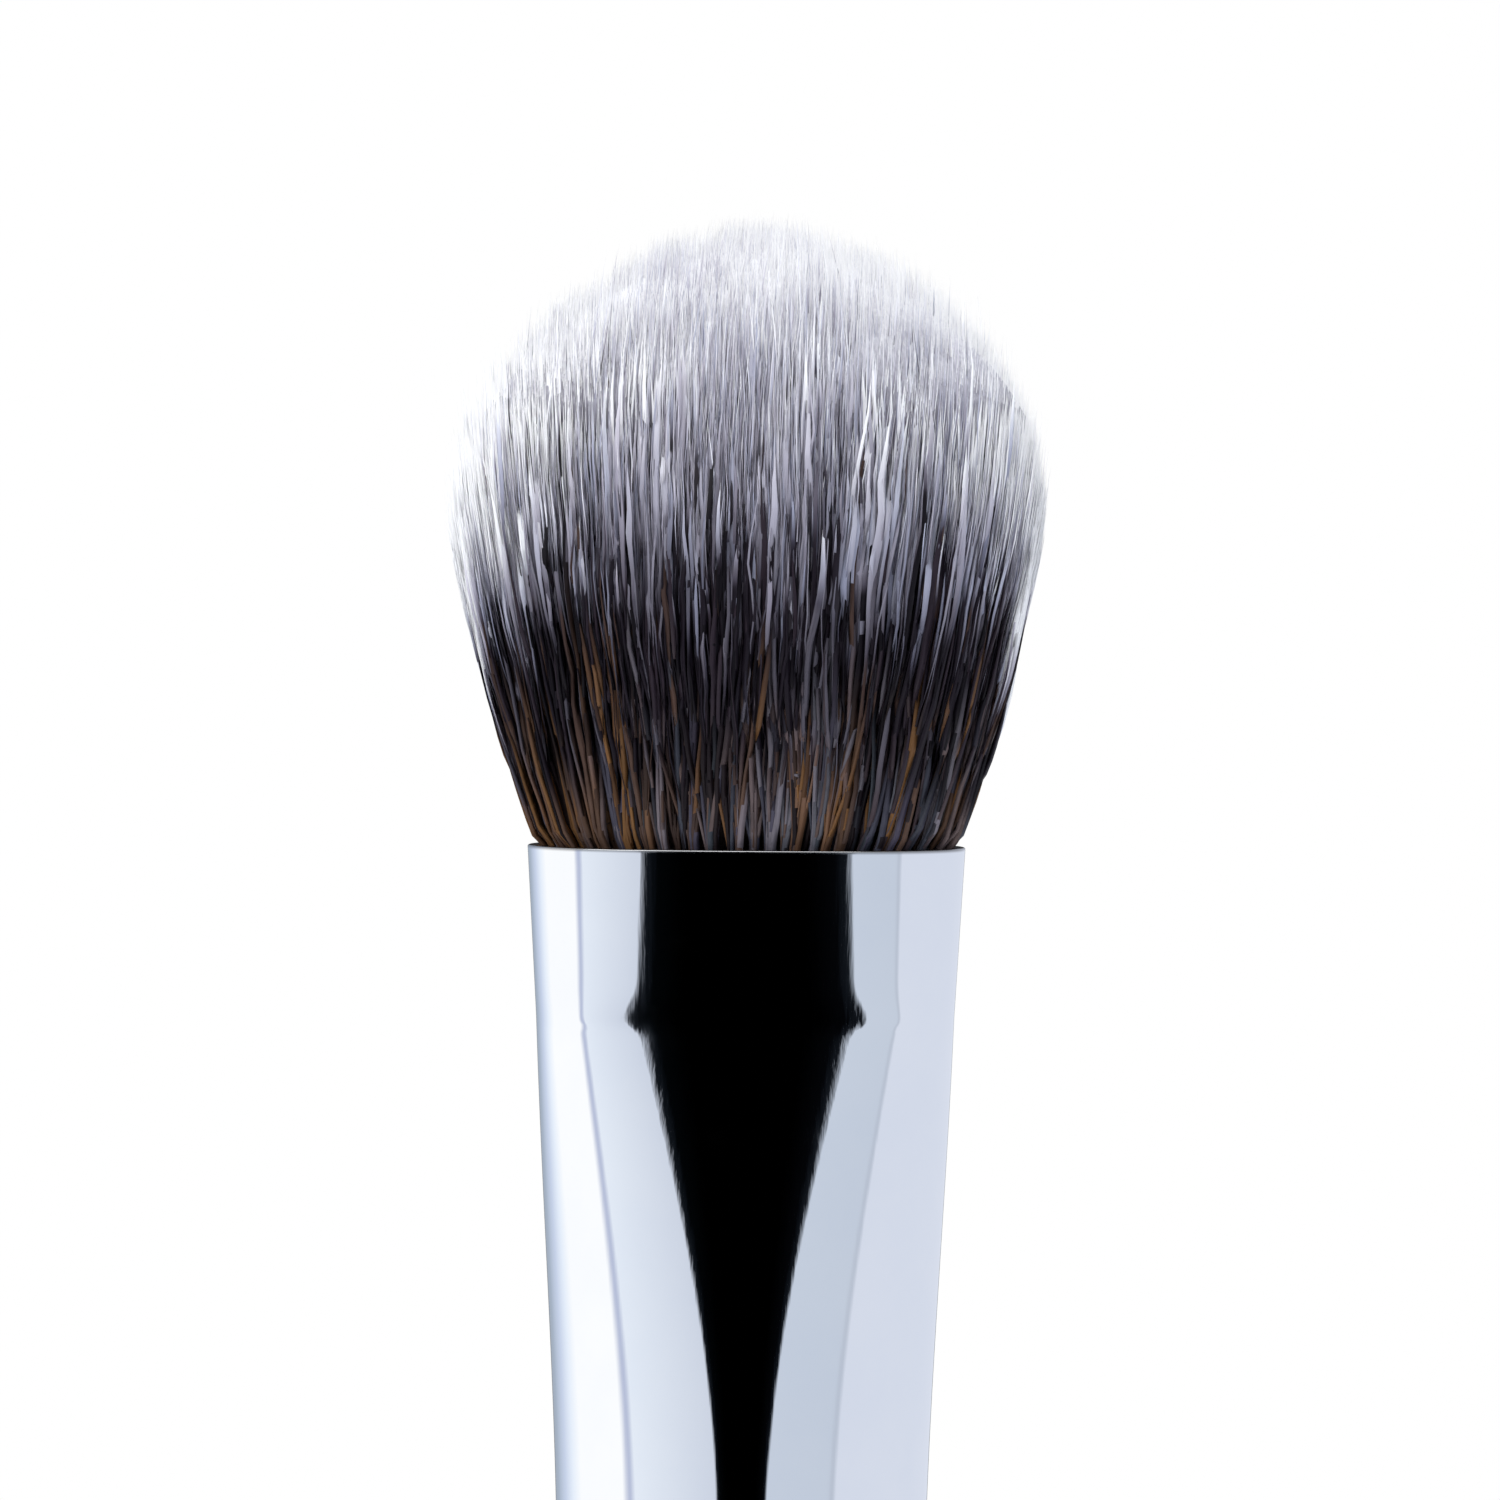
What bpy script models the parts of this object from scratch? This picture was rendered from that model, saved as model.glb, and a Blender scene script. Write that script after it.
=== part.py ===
"""Flat eyeshadow brush, standing on the butt of its handle with the bristles up.

The pieces are a turned handle with a grooved tenon, a sleeve of glue round the tenon, a plated ferrule that runs
from a round tube to a flattened mouth, a resin plug, and ten rows of bristles, each fused to its slice of resin.
X runs across the flat head, Y through its thickness and Z along the brush. Lengths are in metres.
"""

import math

import bmesh
import bpy

# Driving sizes of the whole brush
HANDLE_LENGTH = 0.118
FERRULE_LENGTH = 0.034
BRISTLE_REACH = 0.0112

# Clearance between pieces, and the distance at which doubled points are welded
FIT_CLEARANCE = 0.0001
WELD_DISTANCE = 0.000001

# Ferrule: flattened mouth, pressed crease, round tube and two rolled crimps
FERRULE_WALL = 0.0003
MOUTH_HALF_WIDTH = 0.004
MOUTH_HALF_THICKNESS = 0.00242
CREASE_PINCH_SIDE = 0.00018
CREASE_PINCH_FACE = 0.00022
CREASE_DEPTH = 0.00306
TRANSITION_LENGTH = 0.0094
TRANSITION_BULGE = 0.00022
TUBE_RADIUS = 0.00338
LIP_CHAMFER = 0.0001
END_RADIUS_SHARE = 0.95
CRIMP_COUNT = 2
CRIMP_PITCH = 0.0032
FIRST_CRIMP_HEIGHT = 0.0036
CRIMP_HALF_WIDTH = 0.0008
CRIMP_DROP = 0.00025

# Handle: belly, shoulder, butt and tenon
BELLY_RADIUS = 0.0046
BELLY_DROP = 0.032
BUTT_RADIUS = 0.0025
BUTT_FLAT_RADIUS = 0.0012
BUTT_ROUND_HEIGHT = 0.0022
SHOULDER_LIP = 0.00012
SHOULDER_ROUND = 0.0004
TENON_LENGTH = 0.013
TENON_CHAMFER = 0.0006
GLUE_FILM = 0.00015
GLUE_END_MARGIN = 0.0006

# Resin: the slices that hold the bristles and the plug under them
SLICE_TOP_DEPTH = 0.0001
SLICE_DEPTH = 0.0015
SLICE_EDGE_MARGIN = 0.00003
PLUG_DEPTH = 0.0065

# Bristle head: ten rows of strands that flare from the mouth to a domed outline
ROW_COUNT = 10
ROW_GAP = 0.00007
STRAND_PITCH = 0.00032
STRAND_INSET = 0.000035
FLARE_HEIGHT = 0.0022
FLARE_SIDE_OVERHANG = 0.0007
FLARE_FACE_OVERHANG = 0.0002
WIDEST_HEIGHT = 0.0058
WIDEST_SIDE_OVERHANG = 0.0015
WIDEST_FACE_OVERHANG = 0.0006
TIP_SPREAD_SHARE = 1.03
LOWEST_TIP_SHARE = 0.12
LENGTH_SCATTER_SHARE = 0.05

# Facets
ROUND_STEPS = 36
BODY_STEPS = 18
EDGE_STEPS = 4
LAND_SHARES = (0.0, 0.45, 0.9)
TRANSITION_SHARES = (0.0, 0.04, 0.12, 0.25, 0.4, 0.55, 0.7, 0.85, 1.0)
CRIMP_SHARES = (-1.0, -0.5, 0.0, 0.5, 1.0)

# Sizes that follow from those above
MOUTH_HEIGHT = HANDLE_LENGTH + FERRULE_LENGTH
FERRULE_BASE_HEIGHT = HANDLE_LENGTH + FIT_CLEARANCE
CREASE_HALF_WIDTH = MOUTH_HALF_WIDTH - CREASE_PINCH_SIDE
CREASE_HALF_THICKNESS = MOUTH_HALF_THICKNESS - CREASE_PINCH_FACE
BORE_INSET = FERRULE_WALL + FIT_CLEARANCE
BELLY_HEIGHT = HANDLE_LENGTH - BELLY_DROP
SHOULDER_RADIUS = TUBE_RADIUS + SHOULDER_LIP
GOLDEN_SHARE = 0.6180339887


def clear_scene():
    """Removes what the file holds, so that only the brush is left."""
    for obj in list(bpy.data.objects):
        bpy.data.objects.remove(obj)


def finish(name, colour, roughness, metallic=0.0):
    """A Principled material of one colour."""
    material = bpy.data.materials.new(name)
    material.use_nodes = True
    shader = material.node_tree.nodes["Principled BSDF"]
    shader.inputs["Base Color"].default_value = (*colour, 1.0)
    shader.inputs["Roughness"].default_value = roughness
    shader.inputs["Metallic"].default_value = metallic
    return material


def lerp(start, end, share):
    """The value this share of the way from start to end."""
    return start + (end - start) * share


def ease(share):
    """A smooth rise from 0 to 1 that leaves and arrives level."""
    return 0.5 - 0.5 * math.cos(math.pi * share)


def place(name, mesh, materials, collection):
    """Links a finished mesh to the brush's collection as one named piece."""
    for material in materials:
        mesh.materials.append(material)
    obj = bpy.data.objects.new(name, mesh)
    collection.objects.link(obj)
    return obj


def oval_point(half_width, half_thickness, angle, inset=0.0):
    """The point of a four-arc oval whose outward normal stands at angle from +X, moved in by inset."""
    normal_x, normal_y = math.cos(angle), math.sin(angle)
    end_radius = END_RADIUS_SHARE * half_thickness
    end_centre = half_width - end_radius
    face_radius = (end_centre**2 + half_thickness**2 - end_radius**2) / (2 * (half_thickness - end_radius))
    if abs(normal_x) < end_centre / (face_radius - end_radius):
        face_centre = math.copysign(face_radius - half_thickness, -normal_y)
        return (face_radius - inset) * normal_x, face_centre + (face_radius - inset) * normal_y
    centre = math.copysign(end_centre, normal_x)
    return centre + (end_radius - inset) * normal_x, (end_radius - inset) * normal_y


def transition_share(depth):
    """How far down its run from the crease, 0, to the round tube, 1, the ferrule is at a depth below the lip."""
    return min(max((depth - CREASE_DEPTH) / TRANSITION_LENGTH, 0.0), 1.0)


def crimp_drop(height):
    """How deep the rolled crimps press the tube in, at a height above the ferrule's base."""
    drop = 0.0
    for index in range(CRIMP_COUNT):
        offset = abs(height - FIRST_CRIMP_HEIGHT - index * CRIMP_PITCH) / CRIMP_HALF_WIDTH
        if offset < 1.0:
            drop += CRIMP_DROP * (1.0 - ease(offset))
    return drop


def land_half_sizes(depth):
    """The ferrule's half width and half thickness on its flat land, which narrows from the lip to the crease."""
    land = min(depth / CREASE_DEPTH, 1.0)
    half_width = lerp(MOUTH_HALF_WIDTH, CREASE_HALF_WIDTH, land)
    return half_width, lerp(MOUTH_HALF_THICKNESS, CREASE_HALF_THICKNESS, land)


def ferrule_ring(depth, inset=0.0):
    """The ferrule's outline at a depth below its lip, moved in by inset, one point for each of ROUND_STEPS normals.

    Below the crease each point runs from the flat oval to the round tube, fast at first and level at the end.
    """
    half_width, half_thickness = land_half_sizes(depth)
    share = transition_share(depth)
    rounding = math.sin(0.5 * math.pi * share)
    radius = TUBE_RADIUS + TRANSITION_BULGE * (1.0 - share) - inset
    radius -= crimp_drop(MOUTH_HEIGHT - depth - FERRULE_BASE_HEIGHT)
    ring = []
    for step in range(ROUND_STEPS):
        angle = 2 * math.pi * step / ROUND_STEPS
        oval_x, oval_y = oval_point(half_width, half_thickness, angle, inset)
        x = lerp(oval_x, radius * math.cos(angle), rounding)
        y = lerp(oval_y, radius * math.sin(angle), rounding)
        ring.append((x, y, MOUTH_HEIGHT - depth))
    return ring


def loft(rings, capped):
    """A mesh through rings of equal counts, from the top ring down, with both ends closed if capped."""
    shape = bmesh.new()
    levels = [[shape.verts.new(point) for point in ring] for ring in rings]
    for upper, lower in zip(levels, levels[1:]):
        for index, corner in enumerate(upper):
            after = (index + 1) % len(upper)
            shape.faces.new((corner, lower[index], lower[after], upper[after]))
    if capped:
        shape.faces.new(levels[0])
        shape.faces.new(reversed(levels[-1]))
    mesh = bpy.data.meshes.new("loft")
    shape.to_mesh(mesh)
    shape.free()
    return mesh


def transition_depths():
    """The depths of the land, the crease and the run to the round tube."""
    land = [share * CREASE_DEPTH for share in LAND_SHARES]
    return land + [CREASE_DEPTH + share * TRANSITION_LENGTH for share in TRANSITION_SHARES]


def crimp_heights():
    """The heights above the ferrule's base at which the crimps need a ring, from the top down."""
    heights = []
    for index in range(CRIMP_COUNT):
        middle = FIRST_CRIMP_HEIGHT + index * CRIMP_PITCH
        heights += [middle + share * CRIMP_HALF_WIDTH for share in CRIMP_SHARES]
    return sorted(heights, reverse=True)


def make_ferrule(material, collection):
    """The drawn tube: an open skin through its outlines, given its wall by Solidify and a broken edge by Bevel."""
    tube_height = FERRULE_LENGTH - FIT_CLEARANCE
    depths = transition_depths() + [tube_height - height for height in crimp_heights()] + [tube_height]
    mesh = loft([ferrule_ring(depth) for depth in depths], capped=False)
    ferrule = place("ferrule", mesh, [material], collection)
    mesh.shade_smooth()
    wall = ferrule.modifiers.new("wall", "SOLIDIFY")
    wall.thickness = FERRULE_WALL
    wall.offset = -1
    wall.use_even_offset = True
    edge = ferrule.modifiers.new("lip", "BEVEL")
    edge.width = LIP_CHAMFER
    edge.segments = 1
    edge.limit_method = "ANGLE"
    edge.angle_limit = math.radians(60)


def turn_piece(name, profile, closed, material, collection):
    """A piece turned about Z from a profile of (radius, height) points that runs down its outer side."""
    mesh = bpy.data.meshes.new(name)
    edges = [(index, index + 1) for index in range(len(profile) - 1)]
    if closed:
        edges.append((len(profile) - 1, 0))
    mesh.from_pydata([(radius, 0.0, height) for radius, height in profile], edges, [])
    piece = place(name, mesh, [material], collection)
    screw = piece.modifiers.new("turning", "SCREW")
    screw.steps = ROUND_STEPS
    screw.render_steps = ROUND_STEPS
    screw.use_merge_vertices = True
    screw.merge_threshold = WELD_DISTANCE
    screw.use_smooth_shade = True
    return piece


def tenon_radius(height):
    """The tenon's radius at a height above the ferrule's base, with its crimp grooves."""
    seat = FERRULE_WALL + GLUE_FILM + 2 * FIT_CLEARANCE
    return TUBE_RADIUS - seat - crimp_drop(height)


def body_radius(height):
    """The radius of the handle's long body: slender at the butt, full at the belly, drawn in to the shoulder."""
    if height < BELLY_HEIGHT:
        share = (height - BUTT_ROUND_HEIGHT) / (BELLY_HEIGHT - BUTT_ROUND_HEIGHT)
        return lerp(BUTT_RADIUS, BELLY_RADIUS, ease(share))
    share = (height - BELLY_HEIGHT) / (HANDLE_LENGTH - SHOULDER_ROUND - BELLY_HEIGHT)
    return lerp(BELLY_RADIUS, SHOULDER_RADIUS, ease(share))


def body_heights():
    """The heights of the body's rings, from the shoulder down, with more of them where it curves more."""
    top = HANDLE_LENGTH - SHOULDER_ROUND
    upper = [lerp(top, BELLY_HEIGHT, step / (BODY_STEPS // 2)) for step in range(BODY_STEPS // 2)]
    lower = [lerp(BELLY_HEIGHT, BUTT_ROUND_HEIGHT, step / BODY_STEPS) for step in range(BODY_STEPS + 1)]
    return upper + lower


def make_handle(material, collection):
    """The turned wooden handle, with the tenon that the ferrule is crimped to and a small flat at its butt."""
    tenon_top = HANDLE_LENGTH + TENON_LENGTH
    top_radius = tenon_radius(tenon_top - FERRULE_BASE_HEIGHT)
    profile = [(0.0, tenon_top), (top_radius - TENON_CHAMFER, tenon_top), (top_radius, tenon_top - TENON_CHAMFER)]
    profile += [(tenon_radius(height), FERRULE_BASE_HEIGHT + height) for height in crimp_heights()]
    profile.append((tenon_radius(0.0), HANDLE_LENGTH))
    for step in range(EDGE_STEPS):
        angle = 0.5 * math.pi * step / EDGE_STEPS
        radius = SHOULDER_RADIUS - SHOULDER_ROUND * (1.0 - math.sin(angle))
        profile.append((radius, HANDLE_LENGTH - SHOULDER_ROUND * (1.0 - math.cos(angle))))
    profile += [(body_radius(height), height) for height in body_heights()]
    for step in range(1, EDGE_STEPS + 1):
        angle = 0.5 * math.pi * step / EDGE_STEPS
        radius = lerp(BUTT_FLAT_RADIUS, BUTT_RADIUS, math.cos(angle))
        profile.append((radius, BUTT_ROUND_HEIGHT * (1.0 - math.sin(angle))))
    profile.append((0.0, 0.0))
    turn_piece("handle", profile, False, material, collection)


def make_glue(material, collection):
    """The thin sleeve of glue that fills the seat between the tenon and the ferrule's bore."""
    heights = [TENON_LENGTH - TENON_CHAMFER - GLUE_END_MARGIN] + crimp_heights() + [GLUE_END_MARGIN]
    clear = FIT_CLEARANCE
    outer = [(tenon_radius(height) + clear + GLUE_FILM, FERRULE_BASE_HEIGHT + height) for height in heights]
    inner = [(tenon_radius(height) + clear, FERRULE_BASE_HEIGHT + height) for height in reversed(heights)]
    turn_piece("handle_glue", outer + inner, True, material, collection)


def make_plug(material, collection):
    """The resin that was poured behind the bristles, filling the ferrule under the slices."""
    top = SLICE_TOP_DEPTH + SLICE_DEPTH + FIT_CLEARANCE
    between = [depth for depth in transition_depths() if top < depth < top + PLUG_DEPTH]
    mesh = loft([ferrule_ring(depth, BORE_INSET) for depth in [top, *between, top + PLUG_DEPTH]], capped=True)
    place("resin_plug", mesh, [material], collection)


def slice_half_thickness():
    """Half the thickness of all the slices together, which fits the ferrule where their undersides lie."""
    outline = land_half_sizes(SLICE_TOP_DEPTH + SLICE_DEPTH)
    return outline[1] - BORE_INSET - SLICE_EDGE_MARGIN


def row_pitch():
    """The distance from row to row through the head's thickness."""
    return 2 * slice_half_thickness() / ROW_COUNT


def row_half_width(offset):
    """How far a row reaches to each side inside the ferrule, at this distance from the head's middle plane."""
    half_width, half_thickness = land_half_sizes(SLICE_TOP_DEPTH + SLICE_DEPTH)
    end_radius = END_RADIUS_SHARE * half_thickness
    reach = end_radius - BORE_INSET
    bulge = math.sqrt(max(reach**2 - min(offset, reach) ** 2, 0.0))
    return half_width - end_radius + bulge - SLICE_EDGE_MARGIN


def head_levels():
    """Each level of the head that a strand passes through, as its height and how far it fans out in X and in Y."""
    levels = (
        (FLARE_HEIGHT, FLARE_SIDE_OVERHANG, FLARE_FACE_OVERHANG),
        (WIDEST_HEIGHT, WIDEST_SIDE_OVERHANG, WIDEST_FACE_OVERHANG),
    )
    half_width, half_thickness = row_half_width(0.0), slice_half_thickness()
    return [
        (MOUTH_HEIGHT + height, (MOUTH_HALF_WIDTH + side) / half_width, (MOUTH_HALF_THICKNESS + face) / half_thickness)
        for height, side, face in levels
    ]


def tip_height(x, y, scatter):
    """How high the strand that stands at x, y on its slice ends, under the head's dome."""
    away = min((x / row_half_width(0.0)) ** 2 + (y / slice_half_thickness()) ** 2, 1.0)
    dome = max(math.sqrt(1.0 - away), LOWEST_TIP_SHARE) * (1.0 - LENGTH_SCATTER_SHARE * scatter)
    return MOUTH_HEIGHT + lerp(WIDEST_HEIGHT, BRISTLE_REACH, dome)


def slice_edges(row):
    """The long edges of a row's slice, inner and outer, as points that alternate so as to cut it into triangles."""
    middle = (row - (ROW_COUNT - 1) / 2) * row_pitch()
    half = (row_pitch() - ROW_GAP) / 2
    inner_y = math.copysign(abs(middle) - half, middle)
    outer_y = math.copysign(abs(middle) + half, middle)
    half_width = row_half_width(abs(outer_y))
    count = max(round(2 * half_width / STRAND_PITCH), 2)
    step = 2 * half_width / count
    inner = [(index * step - half_width, inner_y) for index in range(count + 1)]
    outer = [((index + 0.5) * step - half_width, outer_y) for index in range(count)]
    return inner, outer


def slice_faces(shape, row):
    """The top of a row's slice, as triangles that each carry one strand, all facing up."""
    top = MOUTH_HEIGHT - SLICE_TOP_DEPTH
    inner, outer = slice_edges(row)
    near = [shape.verts.new((x, y, top)) for x, y in inner]
    far = [shape.verts.new((x, y, top)) for x, y in outer]
    faces = [shape.faces.new((near[index], near[index + 1], far[index])) for index in range(len(far))]
    faces += [shape.faces.new((near[index], far[index], far[index - 1])) for index in range(1, len(far))]
    for face in faces:
        face.normal_update()
        if face.normal.z < 0:
            face.normal_flip()
    return faces


def raise_strands(shape, faces, height, fan_x, fan_y):
    """Draws each face up to a height as the next length of its strand, spreading them all by the same fan.

    Every strand keeps its place among the others on the way up, so that no two of them cross.
    """
    drawn = bmesh.ops.extrude_discrete_faces(shape, faces=faces)["faces"]
    for face in drawn:
        for corner in face.verts:
            corner.co = (corner.co.x * fan_x, corner.co.y * fan_y, height)
    return drawn


def paint(faces, slot):
    """Gives these strand ends, and the lengths that lead up to them, the material in this slot."""
    for face in faces:
        face.material_index = slot
        for edge in face.edges:
            for neighbour in edge.link_faces:
                neighbour.material_index = slot


def thicken_slice(shape, faces):
    """Gives the slice under these faces its depth, closed all round."""
    grown = bmesh.ops.extrude_face_region(shape, geom=faces, use_keep_orig=True)["geom"]
    under = [item for item in grown if isinstance(item, bmesh.types.BMVert)]
    bmesh.ops.translate(shape, verts=under, vec=(0.0, 0.0, -SLICE_DEPTH))
    bmesh.ops.recalc_face_normals(shape, faces=shape.faces)


def make_row(row, materials, collection):
    """One row of strands, drawn up from the triangles of its slice of resin and brought to points."""
    shape = bmesh.new()
    faces = slice_faces(shape, row)
    thicken_slice(shape, faces)
    bmesh.ops.inset_individual(shape, faces=faces, thickness=STRAND_INSET, use_even_offset=True)
    slot = 1
    fanned_x = fanned_y = 1.0
    for height, fan_x, fan_y in head_levels():
        faces = raise_strands(shape, faces, height, fan_x / fanned_x, fan_y / fanned_y)
        paint(faces, slot)
        slot += 1
        fanned_x, fanned_y = fan_x, fan_y
    points = bmesh.ops.poke(shape, faces=faces)
    for point in points["verts"]:
        x, y = point.co.x / fanned_x, point.co.y / fanned_y
        scatter = ((x / STRAND_PITCH + row) * GOLDEN_SHARE) % 1.0
        point.co = (point.co.x * TIP_SPREAD_SHARE, point.co.y, tip_height(x, y, scatter))
    for face in points["faces"]:
        face.material_index = slot
    mesh = bpy.data.meshes.new("row")
    shape.to_mesh(mesh)
    shape.free()
    place(f"bristle_row_{row + 1:02d}", mesh, materials, collection)


def main():
    """Builds the brush, piece by piece, into a collection of its own."""
    clear_scene()
    collection = bpy.data.collections.new("eyeshadow_brush")
    bpy.context.scene.collection.children.link(collection)
    lacquer = finish("gloss black lacquer", (0.012, 0.012, 0.014), 0.12)
    plate = finish("mirror plate", (0.86, 0.88, 0.92), 0.05, 1.0)
    resin = finish("clear amber resin", (0.62, 0.5, 0.3), 0.35)
    amber = finish("amber bristle root", (0.3, 0.15, 0.07), 0.5)
    dark = finish("dark bristle middle", (0.03, 0.022, 0.024), 0.5)
    white = finish("white bristle tip", (0.8, 0.8, 0.85), 0.55)
    make_handle(lacquer, collection)
    make_glue(resin, collection)
    make_ferrule(plate, collection)
    make_plug(resin, collection)
    for row in range(ROW_COUNT):
        make_row(row, [resin, amber, dark, white], collection)


main()
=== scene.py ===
"""Looks of a flat eyeshadow brush that stands on its butt with the bristles up.

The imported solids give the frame: X runs across the flat head, Y through its thickness, Z along the brush.
The fine ferrule, handle and bristles made here stand where their solids stand. Every length is in metres.
"""

import logging
import math
from dataclasses import dataclass, fields
from enum import Enum
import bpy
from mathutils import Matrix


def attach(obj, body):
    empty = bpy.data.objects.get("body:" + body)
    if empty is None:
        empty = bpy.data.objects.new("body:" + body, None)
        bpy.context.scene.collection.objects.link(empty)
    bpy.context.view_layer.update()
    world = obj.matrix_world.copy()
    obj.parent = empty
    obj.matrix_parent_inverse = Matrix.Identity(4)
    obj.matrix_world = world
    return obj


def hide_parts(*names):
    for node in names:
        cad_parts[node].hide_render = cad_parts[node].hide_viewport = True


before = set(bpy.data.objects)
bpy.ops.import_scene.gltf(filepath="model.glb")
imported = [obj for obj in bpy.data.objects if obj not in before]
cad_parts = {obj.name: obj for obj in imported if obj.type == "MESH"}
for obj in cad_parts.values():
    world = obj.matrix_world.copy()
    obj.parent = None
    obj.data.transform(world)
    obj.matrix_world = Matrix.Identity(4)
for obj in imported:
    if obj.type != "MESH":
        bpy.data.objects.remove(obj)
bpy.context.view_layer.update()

from types import SimpleNamespace

import bmesh
import bpy
from mathutils import Euler, Vector

log = logging.getLogger("brush")

BODY = "root"
BAKE_MAP = "OFBake"

# Sizes and counts that several places share
ROW_COUNT = 10
HANDLE_LENGTH = 0.118
LIP_HEIGHT = 0.152
ROOT_DEPTH = 0.0007


class Slot(Enum):
    """The record's material slots that the pieces take their finish from."""

    LACQUER = "lacquer"
    PLATE = "plate"
    RESIN = "resin"
    BRISTLE = "bristle"


def lerp(start: float, end: float, share: float) -> float:
    """The value this share of the way from start to end."""
    return start + (end - start) * share


def ease(share: float) -> float:
    """A smooth rise from 0 to 1 that leaves and arrives level."""
    return 0.5 - 0.5 * math.cos(math.pi * share)


def steps(start: float, end: float, count: int) -> list:
    """Values in equal steps after start, up to end."""
    return [lerp(start, end, step / count) for step in range(1, count + 1)]


def quarter(count: int) -> list:
    """Angles in equal steps from 0 to a right angle, both included."""
    return [0.5 * math.pi * step / count for step in range(count + 1)]


def grey(level: float) -> tuple:
    """A neutral colour of one level."""
    return (level, level, level)


def display(red: int, green: int, blue: int, gain: float = 1.0) -> tuple:
    """The linear colour of an sRGB one.

    Args:
        red, green, blue: The sRGB parts, each from 0 to 255.
        gain: What the linear parts are multiplied by.

    Returns:
        The linear red, green and blue.
    """
    parts = []
    for part in (red, green, blue):
        value = part / 255
        linear = value / 12.92 if value <= 0.04045 else ((value + 0.055) / 1.055) ** 2.4
        parts.append(linear * gain)
    return tuple(parts)


class Value:
    """A result in a node tree. Arithmetic on it adds Math nodes to the tree."""

    def __init__(self, graph: "Graph", socket: bpy.types.NodeSocket) -> None:
        """Holds the socket of the result, and its graph."""
        self.graph = graph
        self.socket = socket

    def __add__(self, other: object) -> "Value":
        """The sum."""
        return self.graph.math("ADD", self, other)

    def __radd__(self, other: object) -> "Value":
        """The sum, with a plain number first."""
        return self.graph.math("ADD", other, self)

    def __sub__(self, other: object) -> "Value":
        """The difference."""
        return self.graph.math("SUBTRACT", self, other)

    def __rsub__(self, other: object) -> "Value":
        """The difference, with a plain number first."""
        return self.graph.math("SUBTRACT", other, self)

    def __mul__(self, other: object) -> "Value":
        """The product."""
        return self.graph.math("MULTIPLY", self, other)

    def __rmul__(self, other: object) -> "Value":
        """The product, with a plain number first."""
        return self.graph.math("MULTIPLY", other, self)

    def __truediv__(self, other: object) -> "Value":
        """The quotient."""
        return self.graph.math("DIVIDE", self, other)

    def __rtruediv__(self, other: object) -> "Value":
        """The quotient, with a plain number first."""
        return self.graph.math("DIVIDE", other, self)

    def __pow__(self, exponent: object) -> "Value":
        """The power."""
        return self.graph.math("POWER", self, exponent)

    def __abs__(self) -> "Value":
        """The size without its sign."""
        return self.graph.math("ABSOLUTE", self)


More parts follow.
